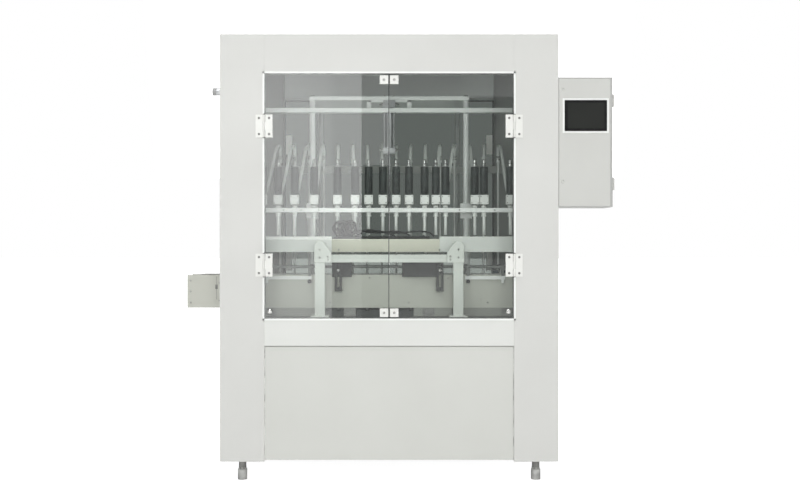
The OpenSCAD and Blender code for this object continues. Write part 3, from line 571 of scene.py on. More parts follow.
# Painted highlight: the lip round the windows is painted much paler than the cabinet, for the bright
# edge where the fold catches the light.
lip_highlight_paint = painted_material("window_lip_painted_highlight", (0.86, 0.87, 0.85), (0.82, 0.83, 0.81), 0.3)
seal_rubber = moulded_material("window_seal_rubber", (0.03, 0.032, 0.031), 0.5)
for side_name, y, out in (("front", front_y, -1), ("rear", rear_y, 1)):
    bm = bmesh.new()
    window_lip(bm, y, out, False)
    mesh_piece(f"{side_name}_window_lip", bm, lip_highlight_paint, "cabinet")
    bm = bmesh.new()
    for sx in (-1, 1):
        for z in (win_z0 - 0.0075, win_z1 + 0.0075):
            x0, x1 = sorted((sx * (win_x + 0.0015), sx * (win_x + 0.0125)))
            y0, y1 = sorted((y - out * 0.003, y + out * 0.0005))
            block(bm, (x0, y0, z - 0.0055), (x1, y1, z + 0.0055), 0.0002)
    mesh_piece(f"{side_name}_corner_fillers", bm, cabinet_paint, "cabinet")

panel_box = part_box("front_access_panel")
# Painted light and shade: the same seal strip is given a paler tone on the left and a darker tone on
# the right, for the way light falls into the two gaps beside the access panel.
for side_name, x0, tone in (("left", -0.5898, 0.6), ("right", 0.5862, 0.42)):
    painted_shading_foam = moulded_material(f"panel_seal_{side_name}_foam", (tone, tone, tone * 0.97), 0.6)
    blocks_piece(f"panel_seal_{side_name}", painted_shading_foam, "cabinet", "painted_sheet", 0.0008,
                 ((x0, panel_box[0].y + 0.0015, panel_box[0].z),
                  (x0 + 0.0036, panel_box[0].y + 0.02, panel_box[1].z)))

screw_zinc = steel_material("screw_zinc", (0.52, 0.52, 0.5), (0.4, 0.4, 0.38), (260, 260, 260), 0.3)
roof_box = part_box("roof_panel")
bm = bmesh.new()
for z in (panel_box[0].z + 0.03, panel_box[1].z - 0.03):
    for x in (-0.53, -0.18, 0.18, 0.53):
        screw(bm, (x, rear_y - 0.006, z), (0, 1, 0), 0.0055)
for x in (-0.7, -0.25, 0.25, 0.7):
    for y in (-0.43, 0.43):
        screw(bm, (x, y, roof_box[1].z), UP, 0.006)
mesh_piece("sheet_screws", bm, screw_zinc, "cabinet")

# ---- Rear louvres ----
# Two columns of six pressed hoods over the slots in the service panel, in the cabinet's paint.
# Each is pushed out of the sheet, open below, so that the pump bay can breathe.
service_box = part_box("rear_service_panel")
bm = bmesh.new()
for x in (-0.3, 0.3):
    for i in range(6):
        z = service_box[0].z + 0.12 + i * 0.03 + 0.004
        y = rear_y - 0.0062
        outline = [(0.0, 0.009), (0.005, 0.002), (0.0055, -0.004), (0.0045, -0.004), (0.0, 0.006)]
        rings = []
        for k, fx in enumerate((-0.095, -0.088, 0.088, 0.095)):
            flat = 0.05 if k in (0, 3) else 1.0
            rings.append([bm.verts.new((x + fx, y + dy * flat, z + dz)) for dy, dz in outline])
        for low, high in zip(rings, rings[1:]):
            for k in range(len(outline) - 1):
                bm.faces.new((low[k], low[k + 1], high[k + 1], high[k]))
mesh_piece("rear_louvres", bm, cabinet_paint, "cabinet")

# ---- Glass doors ----
# Four tempered glass doors, 8 mm: clear in front, smoked behind. White two leaf hinges are bolted
# through the glass, and white pads at the meeting edges close on magnets in the frame.


def glass_material(name, tint, shadow, ior=1.52):
    material, tree, shader = blank_material(name)
    cloud = place_cloudiness(tree, 1.3, 40.0)
    colour_between(tree, shader, cloud.outputs["Patches"], tint, tuple(c * 0.975 for c in tint))
    shader.inputs["Roughness"].default_value = 0.0
    shader.inputs["Transmission Weight"].default_value = 1.0
    shader.inputs["IOR"].default_value = ior
    pass_shadows(tree, shader, shadow)
    return material


clear_glass = glass_material("door_clear_glass", (0.965, 0.985, 0.97), (0.96, 0.98, 0.965))
smoked_glass = glass_material("door_smoked_glass", (0.35, 0.385, 0.36), (0.25, 0.28, 0.26), ior=1.12)
finish_node(clear_glass, "front_left_door_glass", "front_right_door_glass", edge=0.0)
finish_node(smoked_glass, "rear_left_door_glass", "rear_right_door_glass", edge=0.0)
fitting_white = painted_material("hinge_white_enamel", (0.77, 0.77, 0.74), (0.72, 0.72, 0.69), 0.34)
magnet_grey = moulded_material("magnet_block_plastic", (0.12, 0.125, 0.12), 0.45)
finish_node(fitting_white, "front_left_door_fittings", "front_right_door_fittings",
            "rear_left_door_fittings", "rear_right_door_fittings", "hinge_frame_leaves", edge=0.0012)
finish_node(magnet_grey, "magnet_catches", edge=0.0012)
dark_screw = steel_material("grey_phosphated_screw", (0.3, 0.3, 0.29), (0.2, 0.2, 0.19),
                            (300, 300, 300), 0.35)
bright_dome = steel_material("polished_dome", (0.8, 0.8, 0.78), (0.68, 0.68, 0.66), (80, 80, 80), 0.16)
hinge_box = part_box("hinge_frame_leaves")
hinge_half, hinge_screw_dz = 0.054, 0.0378
hinge_z = (hinge_box[0].z + hinge_half, hinge_box[1].z - hinge_half)
pad_z = (win_z0 + 0.009 + 0.02, win_z1 - 0.052 + 0.02)
for body, sx, sy in (("front_left_door", -1, -1), ("front_right_door", 1, -1),
                     ("rear_left_door", -1, 1), ("rear_right_door", 1, 1)):
    out = (0, sy, 0)
    face_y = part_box(body + "_glass")[0 if sy < 0 else 1].y
    bm = bmesh.new()
    for z in hinge_z:
        for dz in (-hinge_screw_dz, hinge_screw_dz):
            screw(bm, (sx * (win_x - 0.024), face_y + sy * 0.004, z + dz), out, 0.0058)
    mesh_piece(body + "_hinge_screws", bm, dark_screw, body)
    bm = bmesh.new()
    for z in pad_z:
        screw(bm, (sx * 0.024, face_y + sy * 0.005, z), out, 0.0062)
    mesh_piece(body + "_pad_screws", bm, screw_zinc, body)
    bm = bmesh.new()
    turned(bm, (sx * (win_x - 0.028), face_y + sy * 0.0036, win_z0 + 0.035), out,
           [(0, 0), (0.0112, 0), (0.0116, 0.0012), (0.0104, 0.0034), (0.0078, 0.0056),
            (0.004, 0.0068), (0, 0.0071)], 24)
    mesh_piece(body + "_guard_dome", bm, bright_dome, body)
bm = bmesh.new()
for sx in (-1, 1):
    for sy, y in ((-1, front_y), (1, rear_y)):
        for z in hinge_z:
            for dz in (-hinge_screw_dz, hinge_screw_dz):
                screw(bm, (sx * (win_x + 0.024), y + sy * 0.004, z + dz), (0, sy, 0), 0.0058)
            for end in (-1, 1):
                turned(bm, (sx * win_x, y + sy * 0.0075, z + end * 0.0535), (0, 0, end),
                       [(0.004, 0), (0.0068, 0.0004), (0.0062, 0.0024), (0.003, 0.0036),
                        (0, 0.0038)], 16)
mesh_piece("frame_hinge_screws", bm, dark_screw, "cabinet")
bm = bmesh.new()
window_lip(bm, front_y + 0.0105, -1, True)
window_lip(bm, rear_y - 0.0105, 1, True)
mesh_piece("window_seals", bm, seal_rubber, "cabinet")

for body, y in (("front_left_door", front_y + 0.002), ("rear_left_door", rear_y - 0.002)):
    blocks_piece(body + "_edge_seal", seal_rubber, body, "foot_rubber", 0.001,
                 ((-0.003, y - 0.0044, win_z0 + 0.004), (0.0006, y + 0.0044, win_z1 - 0.004)))

# ---- Control box ----
# Shallow folded box on the right wall. Its door is a tray on two small hinges, with a black
# touch panel clamped in a cut-out and two quarter turn locks. Modules sit on the back wall.
box_paint = painted_material("control_box_powder_coat", (0.566, 0.568, 0.543), (0.547, 0.549, 0.524))
finish_node(box_paint, "control_box_shell", "control_box_door", edge=0.0014)


def screen_material():
    """Screen glass: near black, and a trace lighter and greener where the display lies."""
    material, tree, shader = blank_material("screen_glass")
    cloud = place_cloudiness(tree, 2.0, 500.0)
    colour_between(tree, shader, cloud.outputs["Patches"], (0.02, 0.021, 0.02), (0.026, 0.028, 0.025))
    rough_between(tree, shader, cloud.outputs["Patches"], 0.22, 0.3)
    shader.inputs["Specular IOR Level"].default_value = 0.2
    return material


bezel_black = moulded_material("touch_bezel_plastic", (0.002, 0.002, 0.002), 0.5)
bezel_black.node_tree.nodes["Principled BSDF"].inputs["Specular IOR Level"].default_value = 0.15
finish_node(bezel_black, "touch_panel", edge=0.002)
touch_low, touch_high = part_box("touch_panel")
blocks_piece("touch_screen_glass", screen_material(), "control_door", "panel_black", 0.0005,
             ((touch_low.x + 0.013, touch_low.y - 0.0006, touch_low.z + 0.012),
              (touch_high.x - 0.013, touch_low.y + 0.0012, touch_high.z - 0.012)))
# Painted highlight: the rim round the touch panel takes the same paler lip paint, for its bright edge.
blocks_piece("touch_panel_rim", lip_highlight_paint, "control_door", "painted_sheet", 0.0006,
             *(((touch_low.x + x0, touch_low.y + 0.0035, touch_low.z + z0),
                (touch_low.x + x1, touch_low.y + 0.0052, touch_low.z + z1))
               for x0, x1, z0, z1 in ((-0.009, 0.209, -0.009, 0.0), (-0.009, 0.209, 0.146, 0.155),
                                      (-0.009, 0.0, 0.0, 0.146), (0.2, 0.209, 0.0, 0.146))))
door_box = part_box("control_box_door")
bm = bmesh.new()
for z in (door_box[0].z + 0.12, door_box[1].z - 0.055):
    turned(bm, (door_box[0].x + 0.02, door_box[0].y + 0.0005, z), FRONT,
           [(0, 0), (0.0098, 0), (0.01, 0.0012), (0.009, 0.0026), (0.0052, 0.003),
            (0.005, 0.0012), (0, 0.0012)], 24)
mesh_piece("control_door_locks", bm, box_paint, "control_door")
edge_paint = painted_material("door_edge_shade", (0.43, 0.43, 0.42), (0.4, 0.4, 0.39))
x0, x1, y = door_box[0].x, door_box[0].x + 0.2535, door_box[0].y
z0, z1 = door_box[0].z, door_box[1].z
blocks_piece("control_door_rolled_edge", edge_paint, "control_door", "painted_sheet", 0.0003,
             ((x0, y - 0.0004, z1 - 0.008), (x1, y + 0.004, z1 + 0.0004)),
             ((x0, y - 0.0004, z0 - 0.0004), (x1, y + 0.004, z0 + 0.004)),
             ((x1 - 0.011, y - 0.0008, z0), (x1 + 0.0004, y + 0.004, z1)))
module_grey = painted_material("module_grey_plastic", (0.55, 0.56, 0.54), (0.5, 0.51, 0.49), 0.45)
finish_node(module_grey, "control_modules", edge=0.0012)
terminal_green = moulded_material("terminal_plastic", (0.05, 0.12, 0.08), 0.45)
module_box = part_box("control_modules")
bm = bmesh.new()
for z, count, depth in ((0.14, 26, 0.047), (0.43, 14, 0.06), (0.72, 20, 0.066)):
    height = module_box[0].z - 0.025 + z * 0.614
    for i in range(count):
        x = module_box[0].x + 0.024 + i * (module_box[1].x - module_box[0].x - 0.052) / (count - 1)
        block(bm, (x - 0.0027, module_box[1].y - depth - 0.012, height - 0.016),
              (x + 0.0027, module_box[1].y - depth + 0.03, height + 0.016), 0.0006)
mesh_piece("terminal_rows", bm, terminal_green, "cabinet")

# ---- Lift gantry ----
# Ground guide columns with flanges, a top plate with the tie rod cylinder hung under it, and two
# full width rails. The filling beam rides the columns on bushes and hangs on the cylinder's rod.
white_paint = painted_material("machine_white_paint", (0.86, 0.88, 0.86), (0.8, 0.82, 0.8), 0.36)
# Painted reflection: the pale ground steel of the columns is pushed to near white with little metal,
# standing in for the bright surroundings they reflect.
column_painted_reflection_steel = steel_material("column_steel_painted_reflection", (0.93, 0.95, 0.94), (0.86, 0.88, 0.87),
                              (500, 500, 5), 0.3, 0.1)
# Painted shade: the rear columns are the same ground steel, given a darker grey for the shade at the
# back of the chamber.
rear_painted_shade_steel = steel_material("rear_column_painted_shade_steel", (0.5, 0.52, 0.51), (0.42, 0.44, 0.43),
                            (500, 500, 5), 0.35, 0.3)
anodised = steel_material("cylinder_anodised", (0.66, 0.67, 0.68), (0.56, 0.57, 0.58),
                          (400, 400, 4), 0.35, 0.9)
finish_node(white_paint, "cross_rails", "gantry_plate", edge=0.0016)
repaint("cross_rails", painted_material("hose_rail_paint", (0.33, 0.345, 0.33), (0.3, 0.315, 0.3)),
        1, 0.2)
finish_node(column_painted_reflection_steel, "guide_columns", edge=0.0012)
# Painted shade: the faces of the rear columns take the darker copy of the column steel.
repaint("guide_columns", rear_painted_shade_steel, 1, 0.3)
finish_node(anodised, "lift_cylinder", edge=0.0012)
rod_chrome = steel_material("rod_chrome", (0.8, 0.81, 0.82), (0.7, 0.71, 0.72), (600, 600, 8), 0.16)
finish_node(rod_chrome, "lift_rod", edge=0.0006)
gantry_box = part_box("gantry_plate")
column_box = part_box("guide_columns")
cylinder_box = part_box("lift_cylinder")
column_x = column_box[1].x - 0.034
column_y = (cylinder_box[0].y + cylinder_box[1].y) / 2
rear_column = (0.378, column_box[1].y - 0.028)
bm = bmesh.new()
for sx in (-1, 1):
    for x, y, ring_r, flange in ((sx * column_x, column_y, 0.026, 0.016),
                                 (sx * rear_column[0], rear_column[1], 0.021, 0.014)):
        screw(bm, (x, y, gantry_box[1].z), UP, 0.014, 0.011)
        for k in range(4):
            a = math.pi / 4 + k * math.pi / 2
            screw(bm, (x + ring_r * math.cos(a), y + ring_r * math.sin(a), column_box[0].z + flange),
                  UP, 0.0048, 0.004)
for sx in (-1, 1):
    for sy in (-1, 1):
        screw(bm, (sx * 0.025, column_y + sy * 0.025, gantry_box[1].z), UP, 0.0065, 0.006)
        turned(bm, (sx * 0.025, column_y + sy * 0.025, cylinder_box[0].z - 0.0005), UP,
               [(0, 0), (0.0062, 0), (0.0068, 0.0006), (0.0068, 0.0055), (0, 0.0055)], 6)
mesh_piece("gantry_screws", bm, screw_zinc, "cabinet")
bm = bmesh.new()
for dz in (-0.02, -0.26):
    z = gantry_box[0].z + dz
    for sx in (-1, 1):
        turned(bm, (sx * 0.032, column_y - 0.004, z), (sx, 0, 0),
               [(0, 0), (0.0085, 0), (0.0085, 0.007), (0.0068, 0.008), (0.0068, 0.016),
                (0.0048, 0.017), (0.0045, 0.021), (0, 0.021)], 6 if sx < 0 else 16)
mesh_piece("cylinder_air_fittings", bm, bright_dome, "cabinet")
y, z = gantry_box[0].y, gantry_box[0].z
blocks_piece("gantry_front_bracket", white_paint, "cabinet", "white_paint", 0.001,
             ((-0.118, y + 0.004, z - 0.044), (-0.094, y + 0.012, z)),
             ((0.094, y + 0.004, z - 0.044), (0.118, y + 0.012, z)),
             ((-0.118, y + 0.004, z - 0.01), (0.118, y + 0.009, z)))

# ---- Filling head ----
# White beam with sixteen heads clamped at uneven gaps. Each head is a white acetal valve block
# on a neck, a dark single acting actuator above it, and a stainless tube below with a collar.
beam_white = painted_material("beam_white_paint", (0.9, 0.91, 0.9), (0.84, 0.85, 0.84), 0.3)
finish_node(beam_white, "nozzle_beam", edge=0.0014)
block_white = painted_material("valve_acetal_white", (0.83, 0.84, 0.82), (0.76, 0.77, 0.75), 0.4, 0.3)
finish_node(block_white, "valve_blocks", edge=0.0016)
actuator_dark = moulded_material("actuator_dark_anodised", (0.012, 0.018, 0.016), 0.42)
finish_node(actuator_dark, "nozzle_actuators", edge=0.0022)
tip_steel = steel_material("adjuster_turned_steel", (0.72, 0.73, 0.72), (0.6, 0.61, 0.6),
                           (60, 60, 900), 0.24)
finish_node(tip_steel, "actuator_fittings", edge=0.0018)
tube_steel = steel_material("nozzle_electropolished", (0.88, 0.9, 0.88), (0.8, 0.82, 0.8),
                            (400, 400, 6), 0.25, 0.2)
finish_node(tube_steel, "nozzle_tubes", edge=0.0008)
finish_node(tip_steel, "shutoff_needles", edge=0.0)
beam_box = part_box("nozzle_beam")
valve_z, cap_z = tip_z + 0.157, tip_z + 0.382
bm = bmesh.new()
dark = bmesh.new()
rings = bmesh.new()
collars = bmesh.new()
tails = bmesh.new()
for x in head_x:
    turned(bm, (x, head_y, cap_z - 0.0004), UP,
           [(0.0086, 0), (0.0083, 0.0022), (0.0066, 0.0052), (0.0038, 0.0072), (0, 0.008)])
    turned(bm, (x, head_y, cap_z - 0.02), UP,
           [(0.0085, 0), (0.0104, 0.0006), (0.0104, 0.0055), (0.0085, 0.0061)], 6, True)
    for z in (0.228, 0.2345, 0.322, 0.3285):
        turned(dark, (x, head_y, tip_z + z), UP,
               [(0.0195, 0), (0.0212, 0.0006), (0.0212, 0.0024), (0.0195, 0.003)], 28, True)
    turned(dark, (x, head_y - 0.0198, tip_z + 0.226), FRONT,
           [(0, 0), (0.0052, 0), (0.0052, 0.0042), (0.0038, 0.005), (0.0038, 0.009), (0, 0.009)], 12)
    for sx in (-1, 1):
        for dz in (0.008, 0.040):
            screw(rings, (x + sx * 0.0165, head_y - 0.022, valve_z + dz), FRONT, 0.0031, 0.0018)
    turned(rings, (x, head_y, valve_z - 0.0072), UP,
           [(0.013, 0), (0.0172, 0.001), (0.0178, 0.003), (0.0172, 0.006), (0.013, 0.007)], 24, True)
    turned(collars, (x, head_y, beam_box[0].z + 0.029 - 0.0218), UP,
           [(0.0118, 0), (0.0136, 0.0008), (0.0136, 0.0062), (0.0118, 0.007)], hollow=True)
    turned(collars, (x, head_y, tip_z - 0.0002), UP,
           [(0.0066, 0), (0.0083, 0.0018), (0.0086, 0.0052), (0.0082, 0.0075), (0.0066, 0.0075)],
           hollow=True)
    turned(tails, (x, head_y + 0.0218, tip_z + inlet_above_tip), (0, 1, 0),
           [(0.0112, 0), (0.0116, 0.001), (0.0116, 0.0075), (0.0104, 0.009), (0.0104, 0.0165),
            (0.0092, 0.018)], hollow=True)
mesh_piece("adjuster_domes", bm, bright_dome, "nozzle_carriage")
mesh_piece("actuator_bands", dark, actuator_dark, "nozzle_carriage")
mesh_piece("valve_block_clamps", rings, screw_zinc, "nozzle_carriage")
mesh_piece("nozzle_collars_and_lips", collars, tube_steel, "nozzle_carriage")
mesh_piece("hose_ferrules_front", tails, tip_steel, "nozzle_carriage")
bm = bmesh.new()
for x in head_x:
    for dy in (-0.017, 0.017):
        screw(bm, (x, head_y + dy, beam_box[1].z - 0.029), UP, 0.0034, 0.003)
for k in range(15):
    x = (k - 7) * 0.09
    if min(abs(x - h) for h in head_x) > 0.02:
        screw(bm, (x, beam_box[0].y, (beam_box[0].z + beam_box[1].z) / 2), FRONT, 0.004, 0.0024)
mesh_piece("beam_screws", bm, screw_zinc, "nozzle_carriage")

# ---- Risers ----
# Stainless tubes from the pump heads up through the deck. Each ends in a hose tail, where the hose
# is held by a crimped ferrule, and passes the deck in a grommet.
finish_node(tube_steel, "riser_tubes", edge=0.0008)
bm = bmesh.new()
grommets = bmesh.new()
deck_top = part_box("deck_plate")[1].z
for x in riser_x:
    turned(bm, (x, riser_y, riser_top - 0.012), UP,
           [(0.011, 0), (0.0118, 0.001), (0.0118, 0.006), (0.0108, 0.0072), (0.0108, 0.0135),
            (0.0118, 0.0147), (0.0118, 0.02), (0.0098, 0.0215), (0.0086, 0.0215)], hollow=True)
    turned(grommets, (x, riser_y, deck_top - 0.0005), UP,
           [(0.0061, 0), (0.0125, 0), (0.0128, 0.0012), (0.011, 0.003), (0.0064, 0.0034)], hollow=True)
mesh_piece("hose_ferrules_rear", bm, tip_steel, "cabinet")
mesh_piece("deck_grommets", grommets, seal_rubber, "cabinet")

# ---- Portal, splash plate and drip tray ----
# White box section posts and bridge bar with bolted corner plates and black bottle stop plates,
# beige splash plate with paler wing plates beside it, and the tray that slides back on two air
# cylinders as the nozzles dive.
wing_grey = painted_material("portal_paint", (0.66, 0.68, 0.645), (0.61, 0.63, 0.595), 0.36)
wing_paint = painted_material("wing_plate_paint", (0.78, 0.8, 0.77), (0.72, 0.74, 0.71), 0.36)
finish_node(wing_grey, "portal_frame", edge=0.0016)
repaint("portal_frame", wing_paint, 1, -0.15)
beige = painted_material("splash_beige_paint", (0.72, 0.71, 0.61), (0.66, 0.65, 0.555), 0.42)
finish_node(beige, "splash_plate", "drip_tray", edge=0.0008)
finish_node(white_paint, "tray_beam", edge=0.0014)
finish_node(anodised, "tray_cylinders", edge=0.0014)
bracket_black = moulded_material("bracket_black_paint", (0.022, 0.022, 0.022), 0.42)
finish_node(bracket_black, "slotted_brackets", edge=0.0012)
portal_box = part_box("portal_frame")
portal_x, portal_y, bracket_x = 0.345, -0.2, 0.255
bridge_z = deck_top + 0.295
bm = bmesh.new()
bolts = bmesh.new()
for sx in (-1, 1):
    for dx, dz in ((-0.04, 0.29), (-0.04, 0.305), (0.0, 0.34), (0.0, 0.30)):
        screw(bm, (sx * (portal_x + dx), portal_box[0].y + 0.014, deck_top + dz), FRONT, 0.005, 0.0034)
    for dx in (-0.035, 0.035):
        for dy in (-0.035, 0.035):
            screw(bm, (sx * portal_x + dx, portal_y + dy, deck_top + 0.01), UP, 0.006, 0.0045)
    screw(bolts, (sx * bracket_x, -0.18, deck_top + 0.235), FRONT, 0.0075, 0.005)
    screw(bolts, (sx * bracket_x, -0.18, deck_top + 0.285), FRONT, 0.0065, 0.004)
    screw(bolts, (sx * 0.66, -0.14, tip_z - 0.045), FRONT, 0.0055, 0.004)
for x in (-bracket_x, bracket_x):
    screw(bm, (x, splash_box[0].y, splash_box[0].z + 0.012), FRONT, 0.0045, 0.003)
mesh_piece("portal_bolts", bm, screw_zinc, "cabinet")
mesh_piece("bracket_bolts", bolts, bright_dome, "cabinet")
blocks_piece("bridge_cover_strip", seal_rubber, "cabinet", "foot_rubber", 0.0008,
             ((-0.318, -0.2205, bridge_z + 0.0205), (0.318, -0.2035, bridge_z + 0.0235)))
plate_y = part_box("slotted_brackets")[0].y + 0.0138
bm = bmesh.new()
for x0, x1 in ((-0.287, -0.187), (0.065, 0.2395)):
    block(bm, (x0, plate_y - 0.006, bridge_z - 0.094), (x1, plate_y, bridge_z - 0.012), 0.001)
    for x in (x0 + 0.016, x1 - 0.016):
        screw(bm, (x, plate_y, bridge_z - 0.03), (0, 1, 0), 0.0055, 0.0035)
mesh_piece("bottle_stop_plates", bm, bracket_black, "cabinet")

# ---- Conveyor ----
# Stainless side plates with cross bars, wear strips and legs. A flat top chain of acetal link
# plates, 38 mm pitch, runs in a loop round two shafts with toothed wheels.
side_steel = painted_material("conveyor_side_finish", (0.556, 0.561, 0.505), (0.525, 0.53, 0.476),
                              0.4, 0.1)
finish_node(side_steel, "conveyor_frame", edge=0.0008)
repaint("conveyor_frame", sleeve_dark, 2, 0.8025, side=-1)
shaft_steel = steel_material("shaft_turned_steel", (0.5, 0.5, 0.49), (0.38, 0.38, 0.37),
                             (60, 700, 60), 0.3)
finish_node(shaft_steel, "drive_shaft", "tail_shaft", edge=0.0008)
chain_grey = moulded_material("chain_acetal_grey", (0.3, 0.3, 0.285), 0.4)
chain_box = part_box("conveyor_chain")
side_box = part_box("conveyor_frame")
wheel_z = (chain_box[0].z + chain_box[1].z) / 2
chain_r = (chain_box[1].z - chain_box[0].z) / 2
link_pitch, hinge_depth = 0.0381, 0.004
hinge_r = chain_r - hinge_depth
tail_x, drive_x = chain_box[0].x + chain_r, chain_box[1].x - chain_r
straight = drive_x - tail_x
loop = 2 * straight + 2 * math.pi * hinge_r
links = int(loop / link_pitch)


def on_loop(s):
    """Place at distance s along the hinge line of the chain."""
    s %= loop
    if s < straight:
        return Vector((tail_x + s, 0, wheel_z + hinge_r))
    s -= straight
    if s < math.pi * hinge_r:
        a = math.pi / 2 - s / hinge_r
        return Vector((drive_x + hinge_r * math.cos(a), 0, wheel_z + hinge_r * math.sin(a)))
    s -= math.pi * hinge_r
    if s < straight:
        return Vector((drive_x - s, 0, wheel_z - hinge_r))
    a = -math.pi / 2 - (s - straight) / hinge_r
    return Vector((tail_x + hinge_r * math.cos(a), 0, wheel_z + hinge_r * math.sin(a)))


bm = bmesh.new()
chain_y0, chain_y1 = chain_box[0].y + 0.001, chain_box[1].y - 0.001
chain_y = (chain_y0 + chain_y1) / 2
for i in range(links):
    start, end = on_loop(i * loop / links), on_loop((i + 1) * loop / links)
    along = (end - start).normalized()
    out = Vector((-along.z, 0, along.x))
    middle = (start + end) / 2
    half = (end - start).length / 2 - 0.0006
    outline = [(-half, 0.0), (-half + 0.002, 0.0034), (half - 0.002, 0.0034), (half, 0.0),
               (half - 0.003, -0.001), (-half + 0.003, -0.001)]
    sides = []
    for y, long, thick in ((chain_y0, 0.96, 0.85), (chain_y0 + 0.0015, 1, 1),
                           (chain_y1 - 0.0015, 1, 1), (chain_y1, 0.96, 0.85)):
        sides.append([bm.verts.new(Vector((0, y, 0)) + middle + along * (u * long)
                                   + out * (v * thick)) for u, v in outline])
    skin_rings(bm, sides, False)
    for y in (-0.034, -0.009, 0.009, 0.034):
        turned(bm, start + Vector((0, chain_y + y - 0.006, 0)) - out * 0.0005, (0, 1, 0),
               [(0, 0), (0.0033, 0), (0.0033, 0.012), (0, 0.012)], 8)
chain = mesh_piece("flat_top_chain", bm, chain_grey, "cabinet")
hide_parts("conveyor_chain")

for name, x in (("drive", drive_x), ("tail", tail_x)):
    bm = bmesh.new()
    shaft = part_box(name + "_shaft")
    wheel_r = (shaft[1].z - shaft[0].z) / 2
    for y in (-0.08, -0.02):
        for k in range(10):
            a = 2 * math.pi * k / 10
            radial = Vector((math.cos(a), 0, math.sin(a)))
            tangent = Vector((-math.sin(a), 0, math.cos(a)))
            base = Vector((x, y, wheel_z)) + radial * (wheel_r - 0.0025)
            corners = [base + tangent * t + radial * r
                       for t, r in ((-0.008, 0), (-0.004, 0.0024), (0.004, 0.0024), (0.008, 0))]
            prism(bm, corners, Vector((0, -0.006, 0)), Vector((0, 0.006, 0)))
    mesh_piece(name + "_wheel_teeth", bm, shaft_steel, name + "_roller")

front_side = side_box[0].y
cover_y = front_side - 0.0105
x0, x1, z0, z1 = side_box[0].x + 0.0008, -0.803, 0.8035, side_box[1].z - 0.0008
y0, y1 = cover_y + 0.001, front_side + 0.0004
bm = bmesh.new()
block(bm, (x0, cover_y, z0), (x1, cover_y + 0.0018, z1), 0.0008)
for low, high in (((x0, y0, z0), (x0 + 0.002, y1, z1)), ((x1 - 0.002, y0, z0), (x1, y1, z1)),
                  ((x0, y0, z0), (x1, y1, z0 + 0.002)), ((x0, y0, z1 - 0.002), (x1, y1, z1))):
    block(bm, low, high, 0.0003)
mesh_piece("tail_end_cover", bm, side_steel, "cabinet")
bm = bmesh.new()
for x, z in ((-1.006, 0.83), (-1.006, 0.886), (-1.006, 0.94), (-0.86, 0.84), (-0.86, 0.93)):
    screw(bm, (x, cover_y, z), FRONT, 0.0046, 0.003)
for k in range(8):
    screw(bm, (-0.7 + k * 0.2, front_side, 0.955 if k % 2 else 0.83), FRONT, 0.0046, 0.003)
for k in range(9):
    screw(bm, (-0.95 + k * 0.2, side_box[1].y, 0.83), (0, 1, 0), 0.0046, 0.003)
mesh_piece("conveyor_screws", bm, screw_zinc, "cabinet")
skirt_paint = painted_material("skirt_grey_paint", (0.31, 0.315, 0.29), (0.27, 0.275, 0.25), 0.45)
blocks_piece("conveyor_skirts", skirt_paint, "cabinet", "stainless", 0.0006,
             *(((x0, front_side + 0.0005, deck_top + 0.0005),
                (x1, front_side + 0.003, side_box[1].z - 0.1675))
               for x0, x1 in ((-0.788, -0.375), (0.125, 0.318), (0.375, 0.788))))
bm = bmesh.new()
for x, y, sy in ((tail_x, side_box[1].y, 1), (drive_x, front_side, -1)):
    turned(bm, (x, y, wheel_z), (0, sy, 0),
           [(0, 0), (0.0185, 0), (0.0195, 0.0012), (0.0195, 0.0085), (0.0175, 0.0098), (0, 0.01)], 28)
mesh_piece("shaft_bearing_caps", bm, side_steel, "cabinet")
bm = bmesh.new()
block(bm, (-0.881, cover_y - 0.0012, 0.899), (-0.869, cover_y + 0.001, 0.921), 0.0004)
block(bm, (-0.876, cover_y - 0.0006, 0.846), (-0.874, cover_y + 0.001, 0.962), 0.0002)
mesh_piece("stub_slot_and_seam", bm, sleeve_dark, "cabinet")

# ---- Guide rails ----
# Dark steel guide bars over the chain, on white flat bars and posts. Cross clamps with black
# knobs hold them, so that they can be set to the width of the bottle.
finish_node(beam_white, "guide_rails", edge=0.0014)
rail_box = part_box("guide_rails")
rail_z = rail_box[1].z - 0.006
knob_black = moulded_material("knob_black_plastic", (0.02, 0.02, 0.02), 0.35)
bar_steel = steel_material("guide_bar_dark_steel", (0.19, 0.2, 0.19), (0.15, 0.16, 0.15),
                           (5, 500, 500), 0.4, 0.3)
repaint("guide_rails", bar_steel, 2, 0.967)
bm = bmesh.new()
clamps = bmesh.new()
knob_places = [(x, 0.938, rail_box[0].y, -1) for x in (-0.403, 0.4)]
knob_places += [(x, rail_z, rail_box[1].y, 1) for x in (-0.62, -0.403, 0.4, 0.575)]
for x, z, y, sy in knob_places:
    turned(bm, (x, y, z), (0, sy, 0),
           [(0, 0), (0.0045, 0), (0.0045, 0.004), (0.0095, 0.005), (0.0102, 0.007),
            (0.0098, 0.012), (0.0075, 0.014), (0, 0.0145)], 10)
    y0, y1 = sorted((y, y - sy * 0.002))
    block(clamps, (x - 0.009, y0, z - 0.01), (x + 0.009, y1 + 0.0005, z + 0.01), 0.0004)
mesh_piece("guide_knobs", bm, knob_black, "cabinet")
mesh_piece("guide_clamps", clamps, knob_black, "cabinet")

